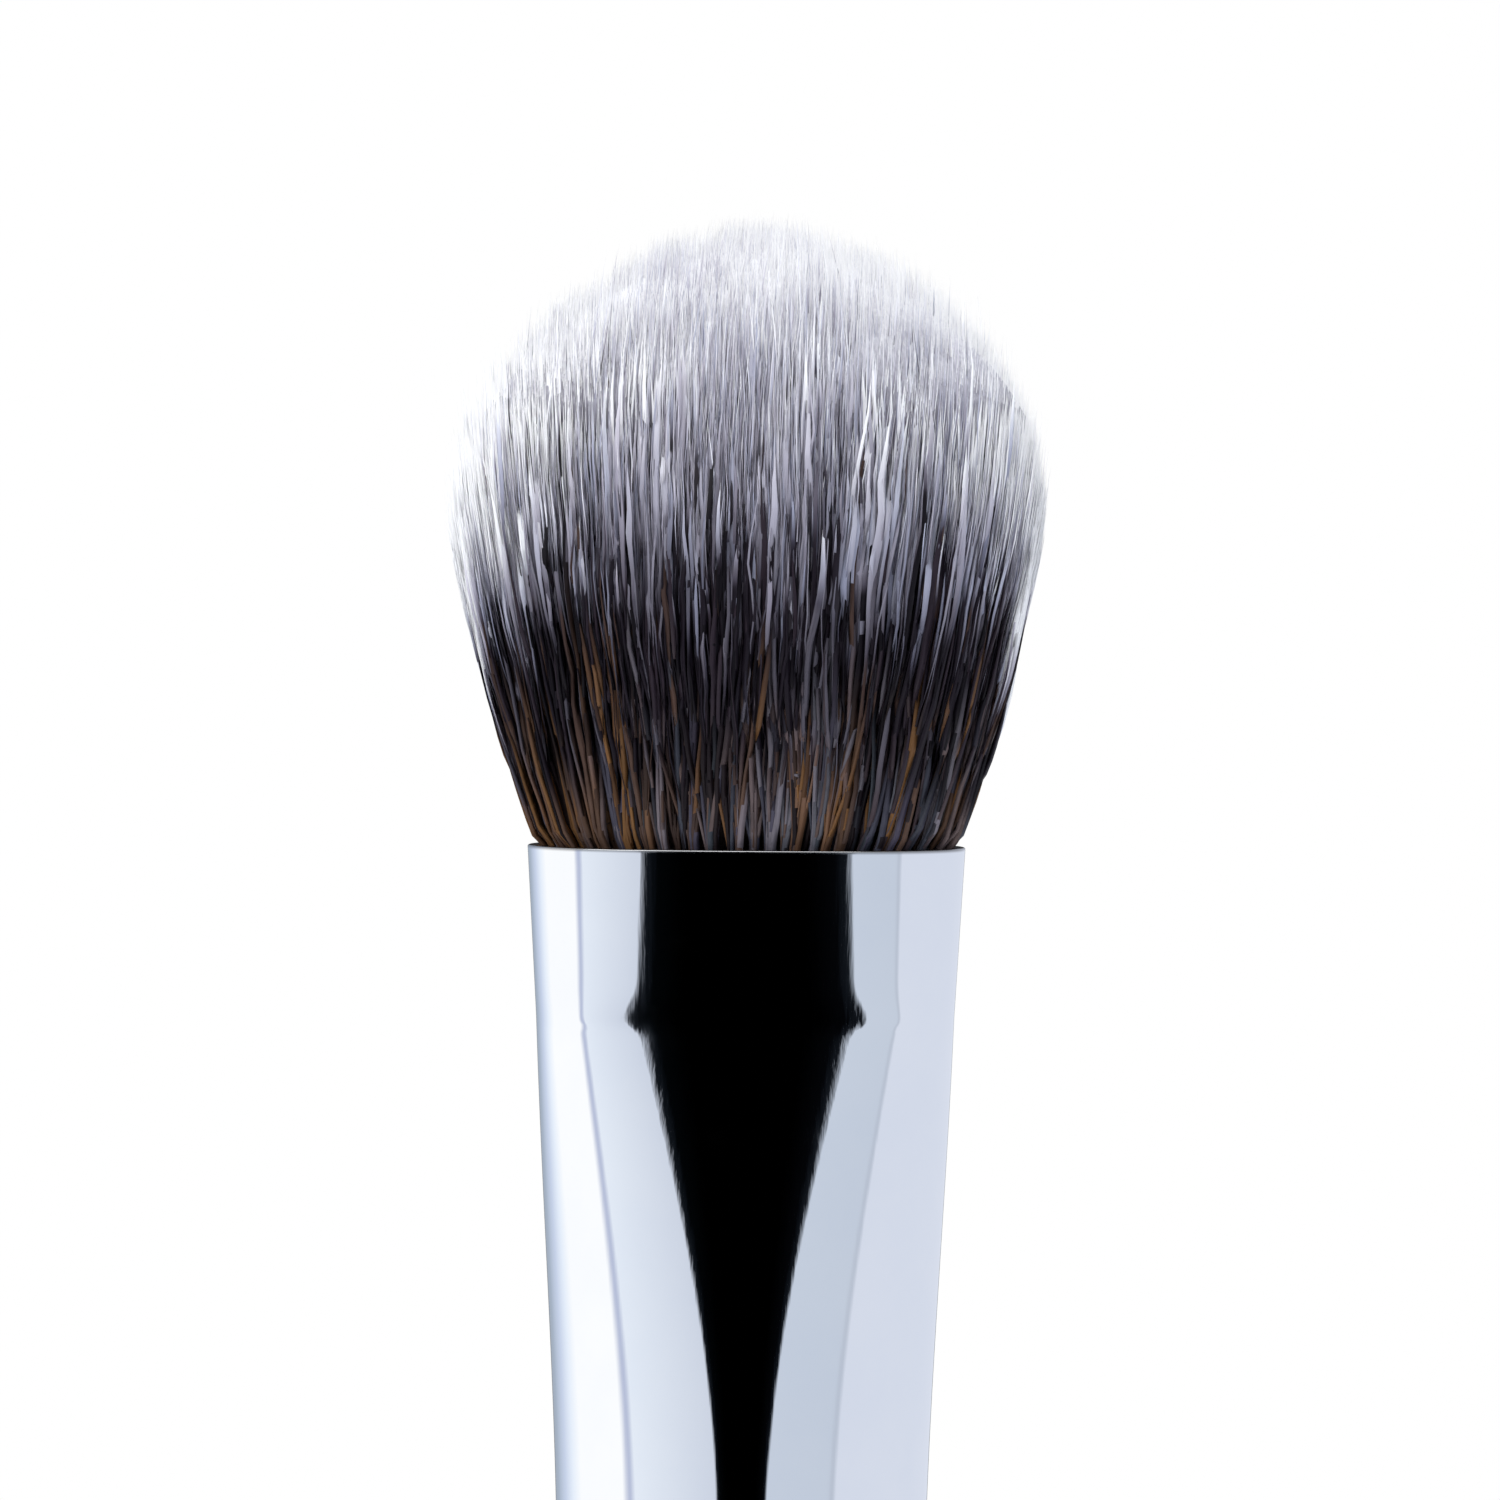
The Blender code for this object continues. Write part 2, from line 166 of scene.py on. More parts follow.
class Graph:
    """A node tree that is written as sums and calls, each of which adds its nodes."""

    def __init__(self, tree: bpy.types.NodeTree) -> None:
        """Starts on a tree, which may hold nodes already."""
        self.tree = tree

    def feed(self, socket: bpy.types.NodeSocket, value: object) -> None:
        """Links or sets an input.

        Args:
            socket: The input socket.
            value: A Value or an output socket to link, or else what to set; a colour gets an alpha of 1.
        """
        source = value.socket if isinstance(value, Value) else value
        if isinstance(source, bpy.types.NodeSocket):
            self.tree.links.new(source, socket)
        else:
            socket.default_value = (*source, 1.0) if socket.type == "RGBA" else source

    def node(self, kind: str, inputs: dict = None, **settings: object) -> bpy.types.Node:
        """Adds a node.

        Args:
            kind: The node's type, as Blender names it.
            inputs: What its inputs get, by name.
            settings: The properties to set on it.

        Returns:
            The new node.
        """
        made = self.tree.nodes.new(kind)
        for name, value in settings.items():
            setattr(made, name, value)
        for name, value in (inputs or {}).items():
            self.feed(next(socket for socket in made.inputs if socket.name == name and socket.enabled), value)
        return made

    def result(self, kind: str, inputs: dict = None, output: str = "", **settings: object) -> Value:
        """Adds a node as the method node does, for its result of this name or else the first in use."""
        outputs = self.node(kind, inputs, **settings).outputs
        return Value(self, next(end for end in outputs if end.enabled and output in ("", end.name)))

    def operate(self, kind: str, operation: str, values: tuple) -> Value:
        """Adds a Math or Vector Math node.

        Args:
            kind: Which of the two, as Blender names it.
            operation: What it does to its values, as Blender names it.
            values: Its inputs in their order.

        Returns:
            The result.
        """
        made = self.node(kind, operation=operation)
        for socket, value in zip(made.inputs, values):
            self.feed(socket, value)
        return Value(self, made.outputs[0])

    def math(self, operation: str, *values: object) -> Value:
        """The result of an operation on numbers."""
        return self.operate("ShaderNodeMath", operation, values)

    def vector_math(self, operation: str, *values: object) -> Value:
        """The result of an operation on vectors, where a number stands for three equal parts."""
        return self.operate("ShaderNodeVectorMath", operation, values)

    def between(self, start: object, end: object, share: object) -> Value:
        """The value this share of the way from start to end."""
        return self.math("MULTIPLY_ADD", self.math("SUBTRACT", end, start), share, start)

    def rise(self, value: object, low: object, high: object, top: object = 1.0) -> Value:
        """A smooth rise from 0 to a top value while a value goes from low to high."""
        span = {"Value": value, "From Min": low, "From Max": high, "To Max": top}
        return self.result("ShaderNodeMapRange", span, interpolation_type="SMOOTHSTEP", clamp=True)

    def vector(self, x: object = 0.0, y: object = 0.0, z: object = 0.0) -> Value:
        """A vector put together from its parts."""
        return self.result("ShaderNodeCombineXYZ", {"X": x, "Y": y, "Z": z})

    def parts(self, vector: object) -> list:
        """The three parts of a vector or a colour."""
        outputs = self.node("ShaderNodeSeparateXYZ", {"Vector": vector}).outputs
        return [Value(self, socket) for socket in outputs]

    def blend(self, share: object, first: object, second: object) -> Value:
        """A colour this share of the way from the first to the second."""
        colours = {"Factor": share, "A": first, "B": second}
        return self.result("ShaderNodeMix", colours, data_type="RGBA", clamp_factor=True)

    def ramp(self, value: object, stops: tuple, stepped: bool = False) -> Value:
        """A colour ramp.

        Args:
            value: The number that is looked up, from 0 to 1.
            stops: Rows of position, red, green and blue, in rising order.
            stepped: Whether each colour holds until the next stop.

        Returns:
            The colour.
        """
        made = self.node("ShaderNodeValToRGB")
        elements = made.color_ramp.elements
        while len(elements) > 1:
            elements.remove(elements[-1])
        elements[0].position, *colour = stops[0]
        elements[0].color = (*colour, 1.0)
        for position, *colour in stops[1:]:
            elements.new(position).color = (*colour, 1.0)
        made.color_ramp.interpolation = "CONSTANT" if stepped else "LINEAR"
        self.feed(made.inputs[0], value)
        return Value(self, made.outputs["Color"])

    def noise(self, vector: object, scale: float, detail: float = 2.0, roughness: float = 0.5) -> Value:
        """The factor of a noise texture that is read at a vector, with its scale in cells to a metre."""
        inputs = {"Vector": vector, "Scale": scale, "Detail": detail, "Roughness": roughness}
        return self.result("ShaderNodeTexNoise", inputs)

    def streaks(
        self, place: Value, scale: float, stretch: float, detail: float, roughness: float = 0.5
    ) -> Value:
        """The factor of a noise that is drawn out along Z, where its scale is this share of the other."""
        return self.noise(self.vector_math("MULTIPLY", place, (1.0, 1.0, stretch)), scale, detail, roughness)


class ShaderGraph(Graph):
    """The node tree of one material, around its Principled shader."""

    def __init__(self, name: str) -> None:
        """Makes a material with a Principled shader.

        Args:
            name: The material's name.
        """
        self.material = bpy.data.materials.new(name)
        self.material.use_nodes = True
        super().__init__(self.material.node_tree)
        self.shader = self.tree.nodes["Principled BSDF"]

    def place(self) -> Value:
        """The Object coordinates of the shaded point."""
        return self.result("ShaderNodeTexCoord", output="Object")

    def set(self, **inputs: object) -> None:
        """Sets or links the shader's inputs, named with underscores for their spaces."""
        for name, value in inputs.items():
            self.feed(self.shader.inputs[name.replace("_", " ")], value)

    def bump(self, height: Value, depth: float, below: Value = None) -> Value:
        """A bump on the surface.

        Args:
            height: The bump's height, from 0 to 1.
            depth: How deep the whole range is, in metres.
            below: The normal that it is laid over, if any.

        Returns:
            The bumped normal.
        """
        made = self.node("ShaderNodeBump", {"Height": height, "Distance": depth})
        if below is not None:
            self.feed(made.inputs["Normal"], below)
        return Value(self, made.outputs["Normal"])


@dataclass(frozen=True)
class MirrorPlate:
    """Bright plating over a drawn tube, with the faint marks that polishing and pressing leave, and painted
    shade on the lip's top.
    """

    tint: tuple = (0.9, 0.915, 0.935)
    hazed_tint: tuple = (0.875, 0.895, 0.925)
    tint_span: tuple = (0.3, 0.7)
    clean_roughness: float = 0.018
    hazed_roughness: float = 0.07
    haze_scale: float = 420.0
    haze_weight: float = 0.6
    worn_span: tuple = (0.52, 0.78)
    draw_lines: float = 9000.0
    draw_stretch: float = 0.02
    draw_depth: float = 0.0000004
    # Painted shade: the lip's top is dark grey, which dims its reflection; it is rougher too, as a cut edge
    cut_edge: tuple = (0.27, 0.27, 0.275)
    lip_shade_span: tuple = (0.00001, 0.00008)
    cut_roughness: float = 0.2
    ripple_scale: float = 2600.0
    ripple_stretch: float = 0.35
    crease_reach: float = 0.0006
    crease_depth: float = 0.0000022

    def make(self, crease_height: float) -> bpy.types.Material:
        """Builds the material.

        Args:
            crease_height: Where the tube's crease is, with the marks of the press.

        Returns:
            The plated metal.
        """
        graph = ShaderGraph("mirror_plate")
        place = graph.place()
        height = graph.parts(place)[2]
        away = abs(height - crease_height) / self.crease_reach
        near_crease = 1.0 - graph.rise(away, 0.0, 1.0)
        ripple = graph.streaks(place, self.ripple_scale, self.ripple_stretch, detail=3.0) * near_crease
        lines = graph.streaks(place, self.draw_lines, self.draw_stretch, detail=3.0)
        normal = graph.bump(lines, self.draw_depth, graph.bump(ripple, self.crease_depth))
        haze = graph.noise(place, self.haze_scale, detail=4.0, roughness=self.haze_weight)
        worn = graph.rise(haze, *self.worn_span)
        roughness = graph.between(self.clean_roughness, self.hazed_roughness, worn)
        tint = graph.blend(graph.rise(haze, *self.tint_span), self.tint, self.hazed_tint)
        # Painted shade: dark grey over the lip's top, which dims its reflection, and a rougher cut edge
        below_lip = graph.rise(LIP_HEIGHT - height, *self.lip_shade_span)
        tint = graph.blend(below_lip, self.cut_edge, tint)
        roughness = graph.between(self.cut_roughness, roughness, below_lip)
        graph.set(Base_Color=tint, Metallic=1.0, Roughness=roughness, Normal=normal)
        return graph.material


@dataclass(frozen=True)
class GlossLacquer:
    """Black lacquer sprayed over turned wood, with the grain just showing and a slight orange peel."""

    ground: tuple = (0.0075, 0.0075, 0.009)
    grain: tuple = (0.02, 0.017, 0.016)
    grain_lines: float = 1500.0
    grain_stretch: float = 0.03
    grain_weight: float = 0.62
    grain_depth: float = 0.0000018
    grain_span: tuple = (0.55, 0.85)
    cloud_scale: float = 120.0
    cloud_share: float = 0.25
    peel_scale: float = 1500.0
    peel_depth: float = 0.0000025
    dust_scale: float = 900.0
    dust_weight: float = 0.7
    dust_span: tuple = (0.55, 0.8)
    roughness: tuple = (0.24, 0.34)
    coat_roughness: float = 0.03
    coat_ior: float = 1.5
    gloss: float = 0.1

    def make(self) -> bpy.types.Material:
        """Builds the material.

        Returns:
            The lacquered wood.
        """
        graph = ShaderGraph("gloss_lacquer")
        place = graph.place()
        fibres = graph.streaks(
            place, self.grain_lines, self.grain_stretch, detail=4.0, roughness=self.grain_weight
        )
        cloud = graph.noise(place, self.cloud_scale)
        share = graph.rise(fibres + cloud * self.cloud_share, *self.grain_span)
        peel = graph.bump(graph.noise(place, self.peel_scale, detail=1.0), self.peel_depth)
        pores = graph.bump(fibres, self.grain_depth, peel)
        dust = graph.noise(place, self.dust_scale, detail=5.0, roughness=self.dust_weight)
        graph.set(Base_Color=graph.blend(share, self.ground, self.grain), Normal=pores, Coat_Normal=peel)
        dusty = graph.rise(dust, *self.dust_span)
        graph.set(Roughness=graph.between(*self.roughness, dusty), Coat_Weight=1.0)
        graph.set(Coat_Roughness=self.coat_roughness, Coat_IOR=self.coat_ior, Specular_IOR_Level=self.gloss)
        return graph.material


@dataclass(frozen=True)
class AmberResin:
    """Cured glue and casting resin, cloudy amber with small bubbles."""

    thin: tuple = (0.62, 0.44, 0.2)
    deep: tuple = (0.32, 0.17, 0.06)
    cloud_scale: float = 600.0
    cloud_weight: float = 0.6
    cloud_span: tuple = (0.3, 0.7)
    bubble_scale: float = 3200.0
    bubble_span: tuple = (0.08, 0.2)
    bubble_depth: float = 0.000012
    roughness: tuple = (0.2, 0.42)
    ior: float = 1.55

    def make(self) -> bpy.types.Material:
        """Builds the material.

        Returns:
            The resin.
        """
        graph = ShaderGraph("amber_resin")
        place = graph.place()
        cloud = graph.noise(place, self.cloud_scale, detail=4.0, roughness=self.cloud_weight)
        cells = graph.result("ShaderNodeTexVoronoi", {"Vector": place, "Scale": self.bubble_scale})
        bubble = 1.0 - graph.rise(cells, *self.bubble_span)
        graph.set(Base_Color=graph.blend(graph.rise(cloud, *self.cloud_span), self.deep, self.thin))
        graph.set(Roughness=graph.between(*self.roughness, cloud), IOR=self.ior)
        graph.set(Normal=graph.bump(cloud + bubble, self.bubble_depth))
        return graph.material


@dataclass(frozen=True)
class FilamentDye:
    """Synthetic filaments dyed along their length: amber, blue-grey and brown at the root, dark, then white.

    The dye is read from the pieces' own map. Across it each strand lies in one of a fixed number of dye lots.
    Along it 0 is the ferrule's lip, a half is where the white begins and 1 is past where it is full.
    The last dark lot is painted sheen and the pale and blue-grey root lots partly; the long grey fade is
    partly painted shade.
    """

    lots: int
    lot_shift: float = 0.37
    mottle_lane: float = 3.1
    mottle_stretch: float = 9.0
    mottle_span: tuple = (0.45, 0.75, 0.5)
    root_shades: tuple = (0.5, 1.45)
    root_end: float = 0.23
    root_end_spread: float = 0.27
    root_fade_share: float = 0.15
    tints: tuple = ((0.0, 0.88, 0.84, 0.86), (0.5, 1.0, 1.0, 1.0), (1.0, 0.84, 0.9, 1.0))
    tint_fade: tuple = (0.7, 0.9)
    white_start: float = 0.5
    white_blend: float = 0.04
    white_blend_spread: float = 0.03
    roughness: tuple = (0.36, 0.48)
    roughness_span: tuple = (0.4, 0.7)
    ior: float = 1.33
    gloss: float = 0.22
    # The dark middles: mostly near black, some purple brown and a few warmer;
    # the last, a pale lavender grey, is painted sheen
    middle_stops: tuple = (
        (0.0, 0.006, 0.0046, 0.0072),
        (0.35, 0.014, 0.0105, 0.016),
        (0.58, 0.028, 0.02, 0.028),
        (0.76, 0.054, 0.032, 0.027),
        (0.88, 0.08, 0.048, 0.039),
        # Painted sheen: a pale lavender grey for a few of the dark strands
        (0.95, 0.095, 0.087, 0.11),
    )
    # From where the white begins, at a half, to full white: the dye's fade, and partly painted shade lower
    # down
    fade_stops: tuple = (
        (0.5, 0.03, 0.026, 0.034),
        (0.54, 0.075, 0.067, 0.09),
        (0.583, 0.16, 0.15, 0.185),
        (0.62, 0.26, 0.25, 0.305),
        (0.66, 0.36, 0.35, 0.42),
        (0.7, 0.45, 0.44, 0.52),
        (0.775, 0.65, 0.64, 0.71),
        (0.8, 0.75, 0.745, 0.805),
        (0.85, 0.93, 0.93, 0.95),
        (0.92, 0.96, 0.96, 0.97),
        (1.0, 0.96, 0.96, 0.97),
    )
    # The roots, from the warmest dye lot to the darkest;
    # the pale lavender grey is painted sheen and the blue greys partly
    root_stops: tuple = (
        (0.0, 0.225, 0.11, 0.04),
        (0.04, 0.165, 0.08, 0.031),
        (0.09, 0.145, 0.07, 0.03),
        (0.2, 0.125, 0.07, 0.046),
        (0.34, 0.115, 0.068, 0.05),
        (0.43, 0.11, 0.072, 0.062),
        (0.49, 0.14, 0.105, 0.105),
        # Painted sheen: a pale lavender grey lot for the lamp's highlights on the roots
        (0.53, 0.21, 0.19, 0.22),
        # Blue greys, partly painted sheen
        (0.57, 0.085, 0.1, 0.12),
        (0.63, 0.092, 0.08, 0.118),
        (0.7, 0.062, 0.068, 0.09),
        (0.77, 0.08, 0.06, 0.066),
        (0.85, 0.05, 0.035, 0.04),
        (0.92, 0.026, 0.018, 0.021),
        (1.0, 0.012, 0.008, 0.01),
    )

    def make(self) -> bpy.types.Material:
        """Builds the material.

        Returns:
            The dyed filament.
        """
        graph = ShaderGraph("dyed_filament")
        across, along, _ = graph.parts(graph.result("ShaderNodeUVMap", uv_map=BAKE_MAP))
        lot = graph.math("FLOOR", across * self.lots)
        chances = {"W": lot + self.lot_shift}
        first, second, third = graph.parts(
            graph.result("ShaderNodeTexWhiteNoise", chances, output="Color", noise_dimensions="1D")
        )
        black = self.middle_stops[0][1:]
        spot = graph.vector(lot * self.mottle_lane, along * self.mottle_stretch)
        mottle = graph.noise(spot, scale=1.0, detail=3.0)
        # Root lots: the pale lavender grey is painted sheen and the blue greys partly
        root = graph.ramp((lot + 0.5) / self.lots, self.root_stops)
        root = graph.vector_math("MULTIPLY", root, graph.between(*self.root_shades, second))
        root = graph.blend(graph.rise(mottle, *self.mottle_span), root, black)
        # The dark middles, whose last lot is painted sheen
        dark = graph.ramp(second, self.middle_stops, stepped=True)
        root_end = self.root_end + first * first * self.root_end_spread
        colour = graph.blend(graph.rise(along, root_end * self.root_fade_share, root_end), root, dark)
        tint = graph.blend(graph.rise(along, *self.tint_fade), graph.ramp(third, self.tints), grey(1.0))
        # The fade to white: the dye, and partly painted shade, greyer and bluer lower down
        fade = graph.vector_math("MULTIPLY", graph.ramp(along, self.fade_stops), tint)
        faded = self.white_start + self.white_blend + third * self.white_blend_spread
        colour = graph.blend(graph.rise(along, self.white_start, faded), colour, fade)
        roughness = graph.between(*self.roughness, graph.rise(along, *self.roughness_span))
        graph.set(Base_Color=colour, Roughness=roughness, IOR=self.ior, Specular_IOR_Level=self.gloss)
        return graph.material


@dataclass(frozen=True)
class PackedCore:
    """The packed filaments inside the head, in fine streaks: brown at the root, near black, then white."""

    reach: float = 0.012
    streaks: float = 14000.0
    streak_stretch: float = 0.08
    streak_shift: float = 0.0016
    streak_depth: float = 0.00003
    roughness: float = 0.6
    ior: float = 1.3
    # From the lip up
    stops: tuple = (
        (0.0, 0.055, 0.036, 0.032),
        (0.1, 0.022, 0.014, 0.014),
        (0.2, 0.012, 0.008, 0.0095),
        (0.4, 0.014, 0.011, 0.014),
        (0.5, 0.05, 0.046, 0.056),
        (0.62, 0.16, 0.15, 0.18),
        (0.74, 0.5, 0.49, 0.55),
        (0.84, 0.88, 0.88, 0.9),
    )

    def make(self) -> bpy.types.Material:
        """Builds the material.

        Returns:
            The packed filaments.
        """
        graph = ShaderGraph("packed_filaments")
        place = graph.place()
        streak = graph.streaks(place, self.streaks, self.streak_stretch, detail=2.0)
        above = graph.parts(place)[2] - LIP_HEIGHT + (streak - 0.5) * self.streak_shift
        graph.set(Base_Color=graph.ramp(above / self.reach, self.stops))
        graph.set(Roughness=self.roughness, IOR=self.ior, Normal=graph.bump(streak, self.streak_depth))
        return graph.material


@dataclass(frozen=True)
class HeadForm:
    """The sizes that all bands of bristles share, each of them a named input of the growth tree."""

    mouth_height: float = LIP_HEIGHT
    root_half_width: float = 0.00363
    root_half_thickness: float = 0.00205
    side_fan: float = 0.368
    side_fan_height: float = 0.0129
    face_fan: float = 0.32
    face_fan_height: float = 0.005
    reach: float = 0.0117
    side_reach: float = 0.0062
    face_drop: float = 0.5
    bundle_size: float = 0.00026
    bundle_pull: float = 0.72
    tuft_size: float = 0.00022
    lip_flare: float = 0.00024
    bundle_wave: float = 0.00022
    tuft_wave: float = 0.0001
    filament_wave: float = 0.00006
    depth_wave: float = 0.0005
    wave_pitch: float = 0.0018
    tuft_pitch: float = 0.0014
    stray_lean: float = 0.0009
    top_lean: float = 0.00015
    right_tuck: float = 0.12
    white_onset: float = 0.00405
    white_length: float = 0.0075
    core_lift: float = 0.001
    dye_lots: int = 48


@dataclass(frozen=True)
class Band:
    """What one band of one kind of strand has of its own, each of them a named input of the growth tree."""

    filaments: int
    joints: int
    seed: int
    front_edge: float
    back_edge: float
    foot_height: float
    foot_share: float
    length_scatter: float
    filament_radius: float
    tuft_pull: float
    finish: bpy.types.Material


@dataclass(frozen=True)
class Habit:
    """How strands grow within the head's sizes: powers, shares, and spans of height where things change."""

    # The mouth's oval, the dome over it and the fan
    mouth_power: float = 2.5
    dome_power: float = 0.58
    face_power: float = 2.5
    edge_power: float = 4.0
    flank_power: float = 3.0
    fan_power: float = 1.52
    fan_skew: float = 0.2
    low_tuck: tuple = (0.0002, 0.0035, 0.62)
    high_tuck: tuple = (0.005, 0.009, 0.38)
    lip_span: tuple = (-0.0001, 0.0002)
    face_flare: float = 0.5
    drift_power: float = 3.0
    # How far short of the dome a strand ends, and how far up a split end begins
    short_power: float = 1.5
    tuft_short: float = 0.5
    face_short: float = 1.5
    edge_short: float = 0.8
    foot_scatter: float = 0.7
    # Bundles and tufts
    flank_hold: float = 0.25
    bundle_release: tuple = (0.001, 0.006, 0.75)
    tuft_span: tuple = (0.25, 0.55)
    tuft_release: tuple = (0.65, 1.0, 0.7)
    # Strays and waves
    early_from: float = 0.96
    early_foot: float = 0.05
    least_lean: float = 0.5
    lean_power: float = 6.0
    bow_top: float = 1.15
    bow_gain: float = 3.0
    outer_hold: float = 0.85
    free_height: float = 0.002
    bundle_lane: float = 91.0
    tuft_lane: float = 870.0
    own_lane: float = 3.71
    first_lane: float = 120.0
    loose_power: float = 9.0
    loose_gain: float = 3.0
    flank_sway: float = 0.35
    early_lift: float = 0.00015
    # The white
    late_from: float = 0.74
    late_edge: float = 0.4
    white_climb: float = 0.15
    tuft_middle: float = 0.45
    tuft_white: float = 0.0026
    white_scatter: tuple = (-0.0007, 0.0005)
    # Partly painted light: at the very edge the white begins lower and, by flank_fade, fades in shorter,
    # which brightens the sides
    flank_white: tuple = ((1.0, 0.0018), (2.0, -0.0034), (6.0, 0.001))
    flank_faces: float = 0.7
    core_power: float = 1.5
    highest_white: tuple = (0.62, 0.85)
    late_white: tuple = (0.72, 1.02)
    latest_share: float = 0.9
    early_white: float = 0.4
    flank_fade: float = 0.8
    early_fade: float = 0.6
    late_fade: float = -0.7
    # Thickness
    slim_span: tuple = (0.0013, 0.0001)
    slim_drop: float = 0.45
    root_girth: float = 0.82
    swell_height: float = 0.0028
    swell_gain: float = 0.85
    tip_taper: tuple = (0.65, 1.05, 0.75)
    early_slim: float = 0.68
    girths: tuple = (0.6, 1.25)
    # Dye lots, and the strip of the map that each strand lies in
    lot_power: float = 3.0
    lot_spread: float = 0.3
    flank_warmth: float = 0.9
    dye_margin: float = 0.002
    strip_start: float = 0.2
    strip_width: float = 0.6
    # Shading as one soft mass: the round form, and where it takes over and lets go
    form_base: float = 0.0045
    form_radii: tuple = (0.009, 0.0046, 0.0071)
    form_width: float = 0.0054
    form_span: tuple = (0.003, 0.0055, 0.85)
    form_release: tuple = (0.0075, 0.0105, 0.25)
    edge_release: float = 0.7
    # The tubes
    corners: int = 3
    seam: float = 0.0000001


class GrowthTree(Graph):
    """The geometry tree that grows one band of bristles, with its sizes as named inputs."""

    SOCKETS = {int: "NodeSocketInt", float: "NodeSocketFloat", bpy.types.Material: "NodeSocketMaterial"}

    def __init__(self, habit: Habit) -> None:
        """Writes the tree.

        Args:
            habit: How its strands grow.
        """
        super().__init__(bpy.data.node_groups.new("bristle_growth", "GeometryNodeTree"))
        self.habit = habit
        sizes = [*fields(HeadForm), *fields(Band)]
        self.names = {}
        for size in sizes:
            label = size.name.replace("_", " ").capitalize()
            item = self.tree.interface.new_socket(label, in_out="INPUT", socket_type=self.SOCKETS[size.type])
            self.names[size.name] = item.identifier
        self.tree.interface.new_socket("Bristles", in_out="OUTPUT", socket_type="NodeSocketGeometry")
        inputs = self.node("NodeGroupInput").outputs
        self.size = SimpleNamespace(**{size.name: Value(self, socket) for size, socket in zip(sizes, inputs)})
        self.draws = 0
        self.write()

    def chance(self, low: float = 0.0, high: float = 1.0) -> Value:
        """A random number for each filament, the same each time that the script runs.

        Args:
            low, high: Its range.

        Returns:
            The number.
        """
        self.draws += 1
        inputs = {"Min": low, "Max": high, "ID": self.filament, "Seed": self.size.seed + self.draws}
        return self.result("FunctionNodeRandomValue", inputs, data_type="FLOAT")

    def cell(self, across: Value, through: Value, size: Value) -> tuple:
        """The cell of a random mosaic that a root stands in.

        Args:
            across, through: The root's place in metres.
            size: How wide a cell is about.

        Returns:
            The cell's middle across and through, and three random numbers for it.
        """
        inputs = {"Vector": self.vector(across, through), "Scale": 1.0 / size}
        made = self.node("ShaderNodeTexVoronoi", inputs, voronoi_dimensions="2D")
        return self.parts(made.outputs["Position"])[:2], self.parts(made.outputs["Color"])

    def wave(self, lane: Value, pitch: Value) -> tuple:
        """A slow random wave along the strands.

        Args:
            lane: A number for the strand or bundle; each has a wave of its own.
            pitch: The height of about half a wave.

        Returns:
            The wave across and through, each about 0.
        """
        inputs = {"Vector": self.vector(lane, self.above / pitch), "Scale": 1.0, "Detail": 1.0}
        across, through, _ = self.parts(
            self.result("ShaderNodeTexNoise", inputs, output="Color", noise_dimensions="2D")
        )
        return across - 0.5, through - 0.5

    def place_root(self) -> None:
        """Sets where the root stands, u across and v through the mouth's oval, and its bundle and tuft."""
        size, habit = self.size, self.habit
        index = self.result("GeometryNodeInputIndex")
        self.filament = self.math("FLOOR", (index + 0.5) / size.joints)
        self.joint = index - self.filament * size.joints
        self.along = self.joint / (size.joints - 1.0)
        self.v = self.between(size.front_edge, size.back_edge, self.chance())
        half = (1.0 - abs(self.v) ** habit.mouth_power) ** (1.0 / habit.mouth_power)
        self.u = half * (self.chance() * 2.0 - 1.0)
        self.root = self.u * size.root_half_width, self.v * size.root_half_thickness
        self.bundle, (self.bundle_chance, _, _) = self.cell(*self.root, size.bundle_size)
        self.tuft, self.tuft_chances = self.cell(*self.root, size.tuft_size)
        self.away = self.math("MINIMUM", self.u * self.u + self.v * self.v, 1.0)
        self.edge = abs(self.u) ** habit.edge_power
        self.inward = 1.0 - abs(self.u) ** habit.flank_power

    def set_height(self) -> None:
        """Sets how high the strand ends, under the dome, and how high each of its joints is."""
        size, habit = self.size, self.habit
        arch = (1.0 - self.u * self.u) ** habit.dome_power
        dome = arch * (1.0 - size.face_drop * abs(self.v) ** habit.face_power)
        short = 1.0 - self.chance() ** habit.short_power + self.tuft_chances[0] * habit.tuft_short
        more = 1.0 + abs(self.v) * habit.face_short + self.edge * habit.edge_short
        self.tip = self.between(size.side_reach, size.reach, dome) - short * size.length_scatter * more
        earlier = (1.0 - size.foot_share) * self.chance() * habit.foot_scatter
        foot = size.foot_height + self.tip * size.foot_share * (1.0 - earlier)
        self.height = self.between(foot, self.tip, self.along)
        self.above = self.math("MAXIMUM", self.height, 0.0)
        self.climb = self.above / size.reach

    def gather(self) -> list:
        """Bundles at the root and pointed tufts at the tip.

        Returns:
            The strand's place across and through, as a list of one pair.
        """
        size, habit = self.size, self.habit
        even = habit.flank_hold + self.inward * (1.0 - habit.flank_hold)
        bundle_hold = size.bundle_pull * even * (1.0 - self.rise(self.above, *habit.bundle_release))
        climbed = self.above / self.tip
        released = 1.0 - self.rise(climbed, *habit.tuft_release)
        tuft_hold = size.tuft_pull * self.rise(climbed, *habit.tuft_span) * released
        places = []
        for root, bundle, tuft in zip(self.root, self.bundle, self.tuft):
            places.append(root + (bundle - root) * bundle_hold + (tuft - root) * tuft_hold)
        return [places]

